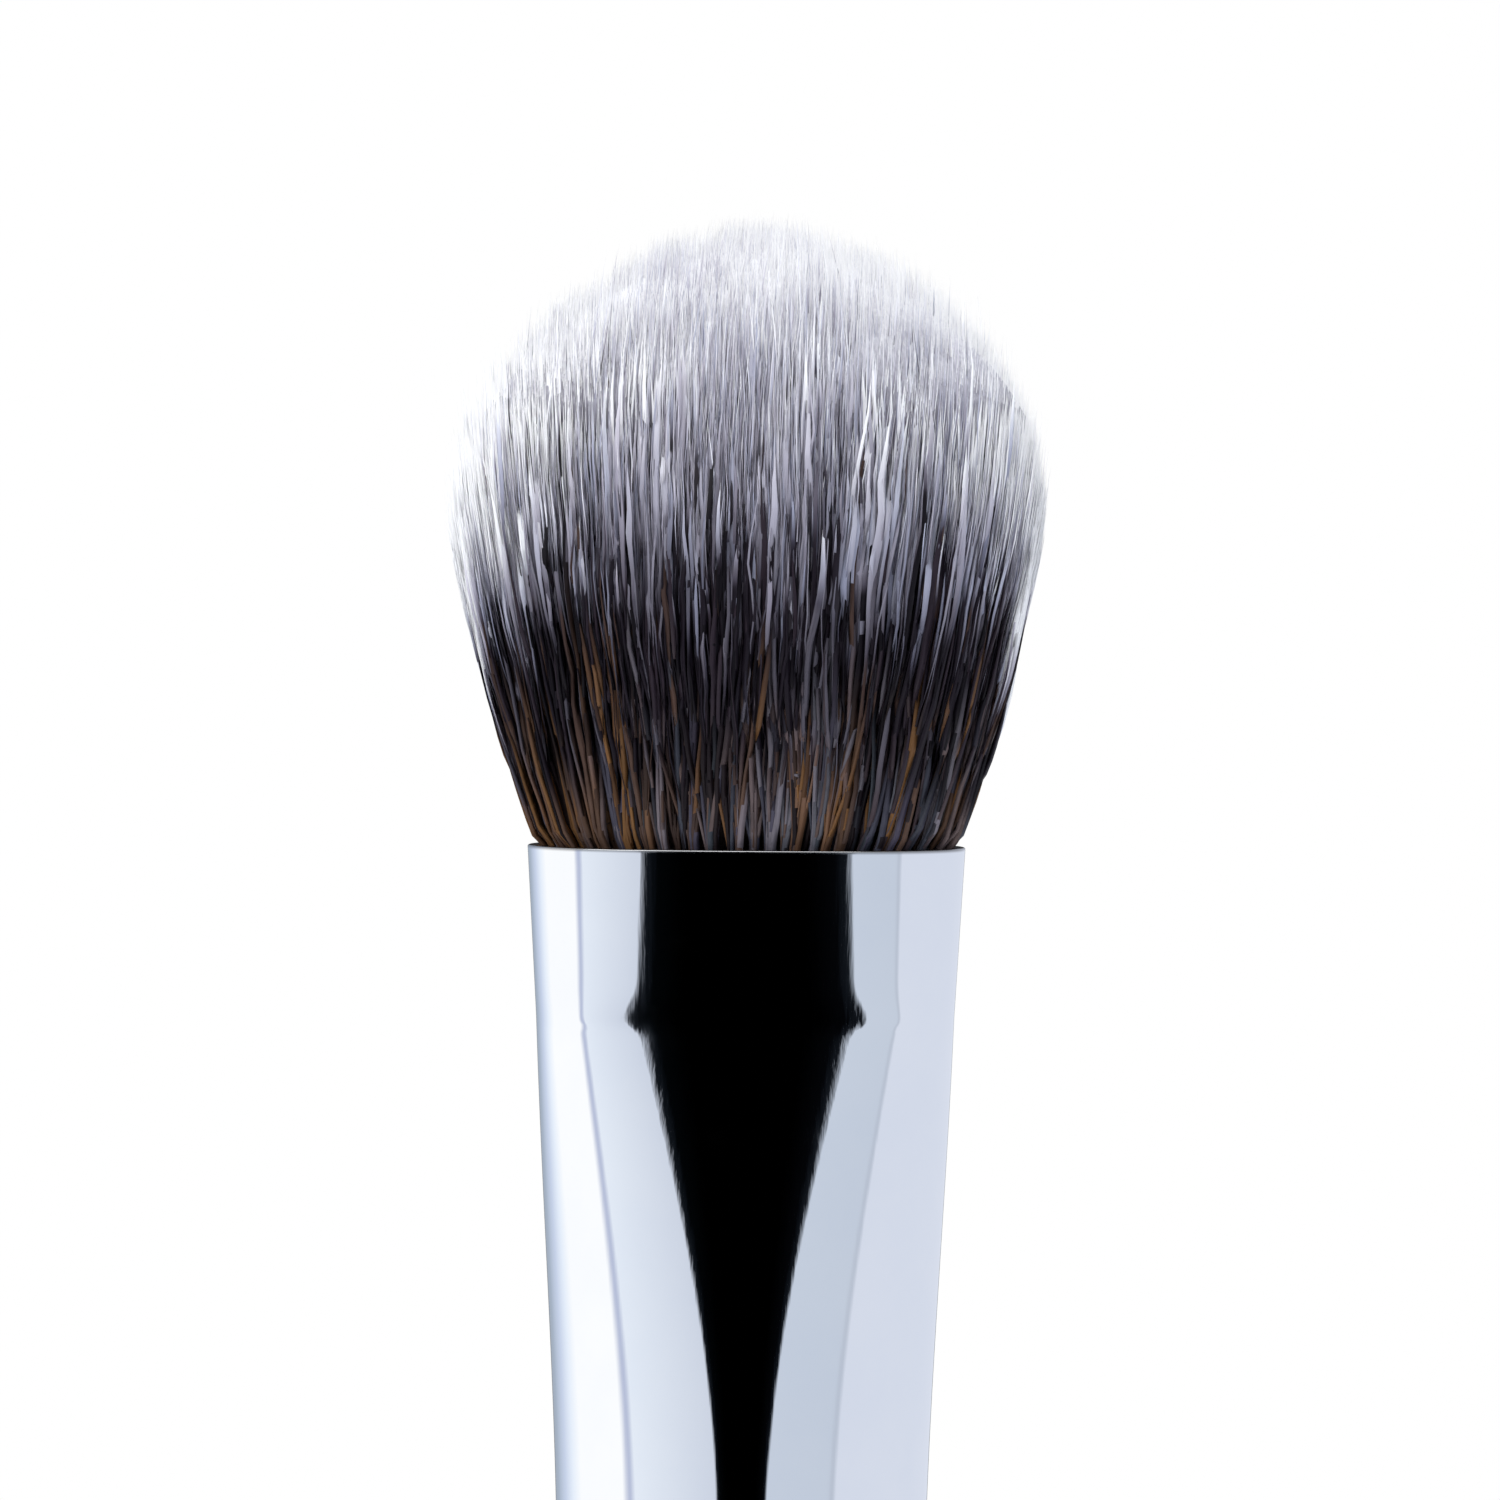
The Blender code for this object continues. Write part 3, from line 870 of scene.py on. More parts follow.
    def fan(self) -> list:
        """How the strands fan out, the outer ones by more than their share, and bulge over the lip.

        Returns:
            Pairs of moves across and through.
        """
        size, habit, above = self.size, self.habit, self.above
        side_rise = size.side_fan * (above - above * above / (size.side_fan_height * 2.0))
        level = self.math("MINIMUM", above, size.face_fan_height)
        face_rise = size.face_fan * (level - level * level / (size.face_fan_height * 2.0))
        side = self.math("SIGN", self.u)
        outward = side * abs(self.u) ** (habit.fan_power - side * habit.fan_skew)
        tuck = self.rise(above, *habit.low_tuck) + self.rise(above, *habit.high_tuck)
        outward = outward * (1.0 - (1.0 + side) * 0.5 * tuck * size.right_tuck)
        flare = self.rise(self.height, *habit.lip_span, size.lip_flare)
        side_flare = side * flare * self.away * abs(self.u)
        return [(outward * side_rise, self.v * face_rise), (side_flare, self.v * flare * habit.face_flare)]

    def stray(self) -> list:
        """Each strand's own lean and slow wave, which a few have much more of.

        Returns:
            Pairs of moves across and through.
        """
        size, habit, climb = self.size, self.habit, self.climb
        early_from = habit.early_from + size.foot_share * habit.early_foot
        self.early = self.math("GREATER_THAN", self.chance(), early_from)
        wild = habit.least_lean + self.chance() ** habit.lean_power + self.early
        bow = climb * (habit.bow_top - climb) * habit.bow_gain
        lean_x = self.chance(-1.0, 1.0) * wild * bow * self.inward * size.stray_lean
        held = 1.0 - self.away ** 2.0 * habit.outer_hold
        lean_y = self.chance(-1.0, 1.0) * wild * climb * held * size.stray_lean
        bundle_x, bundle_y = self.wave(self.bundle_chance * habit.bundle_lane, size.wave_pitch)
        tuft_x, tuft_y = self.wave(self.tuft_chances[2] * habit.tuft_lane, size.tuft_pitch)
        own_x, own_y = self.wave(self.filament * habit.own_lane + habit.first_lane, size.tuft_pitch)
        loose = 1.0 + self.chance() ** habit.loose_power * habit.loose_gain
        own_x, own_y = own_x * loose, own_y * loose
        sway_x = bundle_x * size.bundle_wave + tuft_x * size.tuft_wave + own_x * size.filament_wave
        sway_x = sway_x * (habit.flank_sway + self.inward * (1.0 - habit.flank_sway))
        sway_y = bundle_y * size.bundle_wave + tuft_y * size.tuft_wave + own_y * size.depth_wave
        free = self.rise(self.above, 0.0, habit.free_height)
        drift = climb ** habit.drift_power * size.top_lean
        lift = self.early * self.math("SIGN", self.v) * free * habit.early_lift
        return [(lean_x, lean_y), (sway_x * free, sway_y * free), (drift, lift)]

    def whiten(self) -> None:
        """Sets where the strand whitens: lowest at the sides and the faces, and much higher for a few."""
        size, habit, tip = self.size, self.habit, self.tip
        self.late = self.math("GREATER_THAN", self.chance(), habit.late_from + self.edge * habit.late_edge)
        whitening = size.white_onset + (tip - size.side_reach) * habit.white_climb
        tufts = (self.tuft_chances[1] - habit.tuft_middle) * habit.tuft_white
        whitening = whitening + tufts + self.chance(*habit.white_scatter)
        # Partly painted light: at the very edge the white begins lower, which brightens the sides
        flank = sum(self.edge ** power * shift for power, shift in habit.flank_white)
        whitening = whitening + flank * (1.0 - self.v * self.v * habit.flank_faces)
        whitening = whitening + (1.0 - self.away ** habit.core_power) * size.core_lift
        highest = size.reach * self.chance(*habit.highest_white)
        delayed = self.math("MINIMUM", tip * self.chance(*habit.late_white), highest)
        whitening = self.math("MINIMUM", whitening, tip * habit.latest_share)
        whitening = self.between(whitening, delayed, self.late)
        self.whitening = whitening * (1.0 - self.early * habit.early_white)

    def thickness(self) -> Value:
        """The thickness: slimmest where the white begins, fullest above, then a long taper.

        Returns:
            The radius, which is 0 at both ends of the strand.
        """
        size, habit, above = self.size, self.habit, self.above
        low, high = (self.whitening - depth for depth in habit.slim_span)
        slimmed = self.rise(above, low, high, habit.slim_drop)
        fullest = self.rise(above, self.whitening, self.whitening + habit.swell_height, habit.swell_gain)
        swell = self.between(habit.root_girth + fullest - slimmed, 1.0, self.late)
        taper = swell * (1.0 - self.rise(self.along, *habit.tip_taper))
        starts = self.math("GREATER_THAN", self.joint, 0.5)
        ends = starts * self.math("LESS_THAN", self.joint, size.joints - 1.5)
        slim = 1.0 - self.early * habit.early_slim
        return size.filament_radius * self.chance(*habit.girths) * slim * taper * ends

    def dye(self) -> tuple:
        """The map: a dye lot for each strand, and how far the joint is towards the white or through it.

        Returns:
            The lot, and a number that is 0 at the lip, a half where the white begins and 1 well above.
        """
        size, habit, above = self.size, self.habit, self.above
        own_lot = self.chance(-1.0, 1.0) ** habit.lot_power * habit.lot_spread
        share = self.math("FRACT", self.bundle_chance + own_lot + 1.0)
        share = share ** (1.0 + abs(self.u) ** habit.flank_power * habit.flank_warmth)
        lot = self.math("MINIMUM", self.math("FLOOR", share * size.dye_lots), size.dye_lots - 1.0)
        length = 1.0 + self.early * habit.early_fade + self.late * habit.late_fade
        # Partly painted light: the fade is shorter towards the flanks, which whitens the sides
        fade = size.white_length * (1.0 - self.u * self.u * habit.flank_fade) * length
        low = 0.5 * (above / self.whitening)
        high = 0.5 + 0.5 * ((above - self.whitening) / fade)
        dye = self.between(low, high, self.math("GREATER_THAN", above, self.whitening))
        return lot, self.math("MINIMUM", self.math("MAXIMUM", dye, habit.dye_margin), 1.0 - habit.dye_margin)

    def soft_normal(self) -> Value:
        """The normal for shading: the strand's own at the root, then mostly the head's, as in a soft mass.

        Returns:
            The normal.
        """
        habit = self.habit
        across, through, up = self.parts(self.result("GeometryNodeInputPosition"))
        above = up - self.size.mouth_height
        level = self.math("MAXIMUM", above - habit.form_base, 0.0)
        parts = zip((across, through, level), habit.form_radii)
        form = self.vector(*(part / radius for part, radius in parts))
        outermost = self.math("MINIMUM", (across / habit.form_width) ** 2.0, 1.0)
        share = self.rise(above, *habit.form_span) - self.rise(above, *habit.form_release)
        share = share * (1.0 - outermost * habit.edge_release)
        own = self.vector_math("MULTIPLY", self.result("GeometryNodeInputNormal"), 1.0 - share)
        whole = self.vector_math("MULTIPLY", self.vector_math("NORMALIZE", form), share)
        return self.vector_math("NORMALIZE", self.vector_math("ADD", own, whole))

    def write(self) -> None:
        """Adds every node, from the filaments' numbers to the finished mesh."""
        size, habit = self.size, self.habit
        self.place_root()
        self.set_height()
        x, y = (sum(moves) for moves in zip(*self.gather(), *self.fan(), *self.stray()))
        self.whiten()
        kept = {"radius": self.thickness()}
        kept["lot"], kept["dye"] = self.dye()
        place = self.vector(x, y, self.height + size.mouth_height)
        points = self.result("GeometryNodePoints", {"Count": size.filaments * size.joints, "Position": place})
        points, kept = self.capture(points, kept)
        inputs = {"Points": points, "Curve Group ID": self.filament, "Weight": self.joint}
        curves = self.result("GeometryNodePointsToCurves", inputs)
        inputs = {"Resolution": habit.corners, "Radius": 1.0}
        section = self.result("GeometryNodeCurvePrimitiveCircle", inputs)
        corner = self.result("GeometryNodeInputIndex") / float(habit.corners)
        section, sides = self.capture(section, {"side": corner})
        inputs = {"Curve": curves, "Profile Curve": section, "Scale": kept["radius"], "Fill Caps": False}
        tubes = self.result("GeometryNodeCurveToMesh", inputs)
        strip = kept["lot"] + habit.strip_start + sides["side"] * habit.strip_width
        dyed = self.vector(strip / size.dye_lots, kept["dye"])
        inputs = {"Geometry": tubes, "Name": BAKE_MAP, "Value": dyed}
        mapped = self.result("GeometryNodeStoreNamedAttribute", inputs, data_type="FLOAT2", domain="CORNER")
        welded = self.result("GeometryNodeMergeByDistance", {"Geometry": mapped, "Distance": habit.seam})
        smooth = self.result("GeometryNodeSetShadeSmooth", {"Geometry": welded})
        inputs = {"Mesh": smooth, "Custom Normal": self.soft_normal()}
        softened = self.result("GeometryNodeSetMeshNormal", inputs, mode="FREE", domain="POINT")
        real = self.result("GeometryNodeRealizeInstances", {"Geometry": softened})
        dressed = self.result("GeometryNodeSetMaterial", {"Geometry": real, "Material": size.finish})
        self.feed(self.node("NodeGroupOutput").inputs[0], dressed)

    def capture(self, geometry: Value, numbers: dict) -> tuple:
        """Stores numbers on the points of a geometry.

        Args:
            geometry: The geometry.
            numbers: The numbers by name.

        Returns:
            The geometry that carries them, and the stored numbers by name.
        """
        made = self.node("GeometryNodeCaptureAttribute", {"Geometry": geometry}, domain="POINT")
        for name, value in numbers.items():
            made.capture_items.new("FLOAT", name)
            self.feed(made.inputs[name], value)
        return made.outputs["Geometry"], {name: Value(self, made.outputs[name]) for name in numbers}

    def grow(self, name: str, form: HeadForm, band: Band) -> bpy.types.Mesh:
        """Runs the tree and keeps what it makes as a plain mesh.

        Args:
            name: The mesh's name.
            form, band: The values of the named inputs.

        Returns:
            The mesh.
        """
        seedbed = bpy.data.objects.new("seedbed", bpy.data.meshes.new("seedbed"))
        bpy.context.scene.collection.objects.link(seedbed)
        growth = seedbed.modifiers.new("growth", "NODES")
        growth.node_group = self.tree
        for sizes in (form, band):
            for size in fields(sizes):
                growth[self.names[size.name]] = getattr(sizes, size.name)
        grown = seedbed.evaluated_get(bpy.context.evaluated_depsgraph_get())
        mesh = bpy.data.meshes.new_from_object(grown)
        mesh.name = name
        bpy.data.objects.remove(seedbed)
        return mesh


def show(mesh: bpy.types.Mesh) -> bpy.types.Object:
    """Links a mesh to the scene.

    Args:
        mesh: The mesh, whose name the piece takes.

    Returns:
        The piece.
    """
    piece = bpy.data.objects.new(mesh.name, mesh)
    bpy.context.scene.collection.objects.link(piece)
    return piece


def fit(mesh: bpy.types.Mesh, solids: list, material: bpy.types.Material = None) -> None:
    """Shows a mesh as a piece and tells the frame about it.

    Args:
        mesh: The piece's mesh.
        solids: The names of the solids that it stands for.
        material: Its finish, where the mesh has none yet.
    """
    if material:
        mesh.materials.append(material)
    piece = show(mesh)
    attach(piece, BODY)
    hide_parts(*solids)
    log.info("%s: %d faces", piece.name, len(mesh.polygons))


def finished(name: str, shape: bmesh.types.BMesh) -> bpy.types.Mesh:
    """Ends a closed shape.

    Args:
        name: The mesh's name.
        shape: The shape, which is freed.

    Returns:
        The mesh, with its faces outward and shaded smooth.
    """
    bmesh.ops.recalc_face_normals(shape, faces=shape.faces)
    if shape.calc_volume(signed=True) < 0:
        bmesh.ops.reverse_faces(shape, faces=shape.faces)
    mesh = bpy.data.meshes.new(name)
    shape.to_mesh(mesh)
    shape.free()
    mesh.shade_smooth()
    return mesh


def loft(name: str, rings: list, closed: bool) -> bpy.types.Mesh:
    """A mesh through rings of equal counts, or with a single point at an end.

    Args:
        name: The mesh's name.
        rings: The rings, from the outside's top down. Each is a list of points that runs anticlockwise
            seen from above.
        closed: Whether the last ring joins the first; otherwise both end rings get a cap.

    Returns:
        The mesh, shaded smooth.
    """
    shape = bmesh.new()
    levels = [[shape.verts.new(point) for point in ring] for ring in rings]
    pairs = list(zip(levels, levels[1:]))
    if closed:
        pairs.append((levels[-1], levels[0]))
    for upper, lower in pairs:
        for index in range(max(len(upper), len(lower))):
            above = [upper[step % len(upper)] for step in (index, index + 1)]
            below = [lower[step % len(lower)] for step in (index, index + 1)]
            shape.faces.new(dict.fromkeys((above[0], *below, above[1])))
    for cap in (levels[0], levels[-1][::-1]):
        if not closed and len(cap) > 1:
            shape.faces.new(cap)
    return finished(name, shape)


@dataclass
class Ferrule:
    """The plated tube: round at the handle, pressed flat at its mouth, with a crease and two crimps."""

    base_height: float = HANDLE_LENGTH + 0.0001
    mouth_height: float = LIP_HEIGHT
    wall: float = 0.0003
    mouth_half_width: float = 0.004
    mouth_half_thickness: float = 0.00242
    mouth_face_radius: float = 0.01515
    face_turn: float = math.radians(7.4)
    corner_turn: float = math.radians(45.0)
    crease_half_width: float = 0.00382
    crease_half_thickness: float = 0.0022
    crease_face_radius: float = 0.01575
    crease_depth: float = 0.00311
    crease_flattening: float = 0.0018
    crease_reach_above: float = 0.0004
    crease_reach_below: float = 0.00016
    crease_lead: float = 0.0008
    crease_run: float = 0.0018
    transition_length: float = 0.0094
    transition_bulge: float = 0.00022
    tube_radius: float = 0.00338
    lip_round: float = 0.000035
    foot_round: float = 0.0001
    foot_lead_share: float = 0.9
    crimp_heights: tuple = (0.0036, 0.0068)
    crimp_half_width: float = 0.0008
    crimp_drop: float = 0.00025
    around: int = 192
    crowding: float = 0.42
    lip_steps: int = 6
    land_steps: int = 8
    crease_steps: int = 24
    transition_steps: int = 26
    crimp_steps: int = 12
    finish: MirrorPlate = MirrorPlate()

    def corner_radii(self, half_width: float, half_thickness: float, face_radius: float) -> tuple:
        """The two smaller radii of the oval, such that its three arcs end level with the middle plane.

        Args:
            half_width, half_thickness: The oval's half width and half thickness.
            face_radius: The radius of its flat faces.

        Returns:
            The corner's radius and the side's.
        """
        face, corner = self.face_turn, self.corner_turn
        start_x = face_radius * math.sin(face)
        start_y = half_thickness - face_radius * (1 - math.cos(face))
        wide = (math.sin(corner) - math.sin(face), 1 - math.sin(corner), half_width - start_x)
        high = (math.cos(face) - math.cos(corner), math.cos(corner), start_y)
        spread = wide[0] * high[1] - wide[1] * high[0]
        corner_radius = (wide[2] * high[1] - wide[1] * high[2]) / spread
        side_radius = (wide[0] * high[2] - wide[2] * high[0]) / spread
        return corner_radius, side_radius

    def oval_point(self, depth: float, angle: float, inset: float) -> tuple:
        """A point of the flat oval.

        Args:
            depth: How far below the lip it is.
            angle: Where its outward normal stands from +X.
            inset: How far it is moved in.

        Returns:
            Its X and Y.
        """
        land = min(depth / self.crease_depth, 1.0)
        half_width = lerp(self.mouth_half_width, self.crease_half_width, land)
        half_thickness = lerp(self.mouth_half_thickness, self.crease_half_thickness, land)
        reach = self.crease_reach_above if depth < self.crease_depth else self.crease_reach_below
        flattened = math.exp(-(((depth - self.crease_depth) / reach) ** 2))
        face_radius = lerp(self.mouth_face_radius, self.crease_face_radius, land)
        face_radius += self.crease_flattening * flattened
        radii = face_radius, *self.corner_radii(half_width, half_thickness, face_radius)
        turn = min(abs(math.pi / 2 - angle % math.pi), math.pi / 2)
        x, y, before = 0.0, half_thickness, 0.0
        for radius, limit in zip(radii, (self.face_turn, self.corner_turn, math.pi / 2)):
            here = min(turn, limit)
            x += radius * (math.sin(here) - math.sin(before))
            y -= radius * (math.cos(before) - math.cos(here))
            before = limit
            if turn <= limit:
                break
        normal_x, normal_y = math.cos(angle), math.sin(angle)
        return math.copysign(x, normal_x) - inset * normal_x, math.copysign(y, normal_y) - inset * normal_y

    def crimp(self, height: float) -> float:
        """How deep the crimps press the tube in, at a height above the ferrule's base."""
        offsets = (abs(height - middle) / self.crimp_half_width for middle in self.crimp_heights)
        return sum(self.crimp_drop * (1.0 - ease(offset)) for offset in offsets if offset < 1.0)

    def ring(self, depth: float, inset: float) -> list:
        """The tube's outline.

        Args:
            depth: How far below the lip it is.
            inset: How far it is moved in from the outside.

        Returns:
            Its points, anticlockwise seen from above.
        """
        share = min(max((depth - self.crease_depth) / self.transition_length, 0.0), 1.0)
        rounding = math.sin(0.5 * math.pi * share)
        height = self.mouth_height - depth
        radius = self.tube_radius + self.transition_bulge * (1.0 - share) - inset
        radius -= self.crimp(height - self.base_height)
        points = []
        for angle in self.angles():
            oval_x, oval_y = self.oval_point(depth, angle, inset)
            x = lerp(oval_x, radius * math.cos(angle), rounding)
            y = lerp(oval_y, radius * math.sin(angle), rounding)
            points.append((x, y, height))
        return points

    def angles(self) -> list:
        """The normals' angles, closer together on the two flat faces, which are long for their turn."""
        turns = (2 * math.pi * step / self.around for step in range(self.around))
        return [turn + self.crowding * math.sin(2 * turn) for turn in turns]

    def crimp_offsets(self) -> list:
        """The heights of the rings that form one crimp, from its middle, from the lowest up."""
        half = self.crimp_half_width
        return [-half, *steps(-half, half, self.crimp_steps)]

    def depths(self) -> list:
        """Where the rings below the rounded lip are.

        Returns:
            Their depths, from the lip down.
        """
        above_crease = self.crease_depth - self.crease_lead
        below_crease = above_crease + self.crease_run
        transition_end = self.crease_depth + self.transition_length
        foot = self.mouth_height - self.base_height - self.foot_round
        tube = []
        for middle in sorted(self.crimp_heights, reverse=True):
            centre = self.mouth_height - self.base_height - middle
            tube += [centre + offset for offset in self.crimp_offsets()]
        depths = steps(self.lip_round, above_crease, self.land_steps)
        depths += steps(above_crease, below_crease, self.crease_steps)
        depths += steps(below_crease, transition_end, self.transition_steps)
        depths += [lerp(transition_end, tube[0], 0.5), *tube]
        return depths + [lerp(tube[-1], foot, self.foot_lead_share), foot]

    def lip(self) -> tuple:
        """The rounded lip.

        Returns:
            The depths and insets of its outer quarter, going up, and of its inner quarter, going down.
        """
        size, turns = self.lip_round, quarter(self.lip_steps)
        outer = [(size * (1 - math.sin(turn)), size * (1 - math.cos(turn))) for turn in turns]
        inner = [(size * (1 - math.cos(turn)), self.wall - size * (1 - math.sin(turn))) for turn in turns]
        return outer, inner

    def build(self) -> None:
        """Makes the tube with its wall and dresses it."""
        outer, inner = self.lip()
        depths = self.depths()
        foot = self.mouth_height - self.base_height
        outside = [(foot, self.foot_round), *((depth, 0.0) for depth in reversed(depths))]
        inside = [*((depth, self.wall) for depth in depths), (foot, self.wall - self.foot_round)]
        path = [*outside, *outer, *inner, *inside]
        mesh = loft("ferrule_tube", [self.ring(depth, inset) for depth, inset in reversed(path)], closed=True)
        fit(mesh, ["ferrule"], self.finish.make(self.mouth_height - self.crease_depth))


@dataclass
class Handle:
    """The turned handle: a full belly, a rounded butt, a shoulder, and a grooved tenon inside the ferrule."""

    ferrule: Ferrule
    length: float = HANDLE_LENGTH
    belly_radius: float = 0.0046
    belly_height: float = 0.086
    butt_radius: float = 0.0025
    butt_flat_radius: float = 0.0012
    butt_round_height: float = 0.0022
    shoulder_radius: float = 0.0035
    shoulder_round: float = 0.0004
    tenon_length: float = 0.013
    tenon_chamfer: float = 0.0006
    tenon_seat: float = 0.00065
    around: int = 128
    body_steps: int = 96
    shoulder_steps: int = 8
    butt_steps: int = 12
    finish: GlossLacquer = GlossLacquer()

    def body_radius(self, height: float) -> float:
        """How thick the long body is.

        Args:
            height: How high above the butt.

        Returns:
            The radius there.
        """
        if height < self.belly_height:
            share = (height - self.butt_round_height) / (self.belly_height - self.butt_round_height)
            return lerp(self.butt_radius, self.belly_radius, ease(share))
        share = (height - self.belly_height) / (self.length - self.shoulder_round - self.belly_height)
        return lerp(self.belly_radius, self.shoulder_radius, ease(share))

    def tenon_radius(self, height: float) -> float:
        """The tenon's radius at a height above the ferrule's base, with its crimp grooves."""
        return self.ferrule.tube_radius - self.tenon_seat - self.ferrule.crimp(height)

    def profile(self) -> list:
        """The turned outline.

        Returns:
            Its points as radius and height, from the tenon's top down the outside to the butt.
        """
        base = self.ferrule.base_height
        top = self.length + self.tenon_length
        top_radius = self.tenon_radius(top - base)
        points = [(0.0, top), (top_radius - self.tenon_chamfer, top), (top_radius, top - self.tenon_chamfer)]
        for middle in sorted(self.ferrule.crimp_heights, reverse=True):
            for offset in self.ferrule.crimp_offsets():
                points.append((self.tenon_radius(middle - offset), base + middle - offset))
        points.append((self.tenon_radius(0.0), self.length))
        for angle in quarter(self.shoulder_steps):
            radius = self.shoulder_radius - self.shoulder_round * (1.0 - math.sin(angle))
            points.append((radius, self.length - self.shoulder_round * (1.0 - math.cos(angle))))
        body = steps(self.length - self.shoulder_round, self.butt_round_height, self.body_steps)
        points += [(self.body_radius(height), height) for height in body]
        for angle in quarter(self.butt_steps)[1:]:
            radius = lerp(self.butt_flat_radius, self.butt_radius, math.cos(angle))
            points.append((radius, self.butt_round_height * (1.0 - math.sin(angle))))
        return [*points, (0.0, 0.0)]

    def build(self) -> None:
        """Turns the handle and dresses it."""
        rings = []
        for radius, height in self.profile():
            count = self.around if radius else 1
            turns = (math.tau * step / self.around for step in range(count))
            rings.append([(radius * math.cos(turn), radius * math.sin(turn), height) for turn in turns])
        fit(loft("handle_turned", rings, closed=False), ["handle"], self.finish.make())


@dataclass
class ResinParts:
    """The glue and the poured plug, which keep their solids, and the bed that the bristles stand in."""

    ferrule: Ferrule
    bed_top: float = 0.00035
    bed_bottom: float = 0.0016
    bed_round: float = 0.0001
    bed_round_steps: int = 4
    cap_inset: float = 0.0003
    clearance: float = 0.0001
    kept_solids: tuple = ("handle_glue", "resin_plug")
    finish: AmberResin = AmberResin()

    def build(self, rows: list) -> None:
        """Makes the bed and dresses the two solids that stay.

        Args:
            rows: The solids whose slices of resin the bed stands for.
        """
        resin = self.finish.make()
        for name in self.kept_solids:
            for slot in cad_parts[name].material_slots:
                slot.material = resin
        inset = self.ferrule.wall + self.clearance
        rings = [self.ferrule.ring(self.bed_top, inset + self.cap_inset)]
        for angle in quarter(self.bed_round_steps):
            cut = self.bed_round * (1.0 - math.sin(angle))
            rings.append(self.ferrule.ring(self.bed_top - cut, inset + cut))
        rings.append(self.ferrule.ring(self.bed_bottom, inset))
        fit(loft("bristle_bed", rings, closed=False), rows, resin)


@dataclass(frozen=True)
class Strand:
    """One kind of strand: how many each band has, where they begin and how thick they are."""

    label: str
    counts: tuple
    joints: int
    radius: float
    scatter: float
    tuft_pull: float
    foot_height: float = 0.0
    foot_share: float = 0.0


LOCKS = Strand(
    label="locks",
    counts=(500, 400, 310, 240, 200, 200, 240, 310, 400, 500),
    joints=16,
    radius=0.000074,
    scatter=0.0013,
    tuft_pull=0.7,
    foot_height=-ROOT_DEPTH,
)
STRANDS = Strand(
    label="strands",
    counts=(700, 600, 510, 460, 450, 450, 460, 510, 600, 700),
    joints=10,
    radius=0.00006,
    scatter=0.0012,
    tuft_pull=0.7,
    foot_share=0.4,
)
SPLIT_ENDS = Strand(
    label="split_ends",
    counts=(4000, 10000, 17500, 19000, 19500, 19500, 19000, 17500, 10000, 4000),
    joints=3,
    radius=0.0000105,
    scatter=0.0008,
    tuft_pull=0.1,
    foot_share=0.82,
)


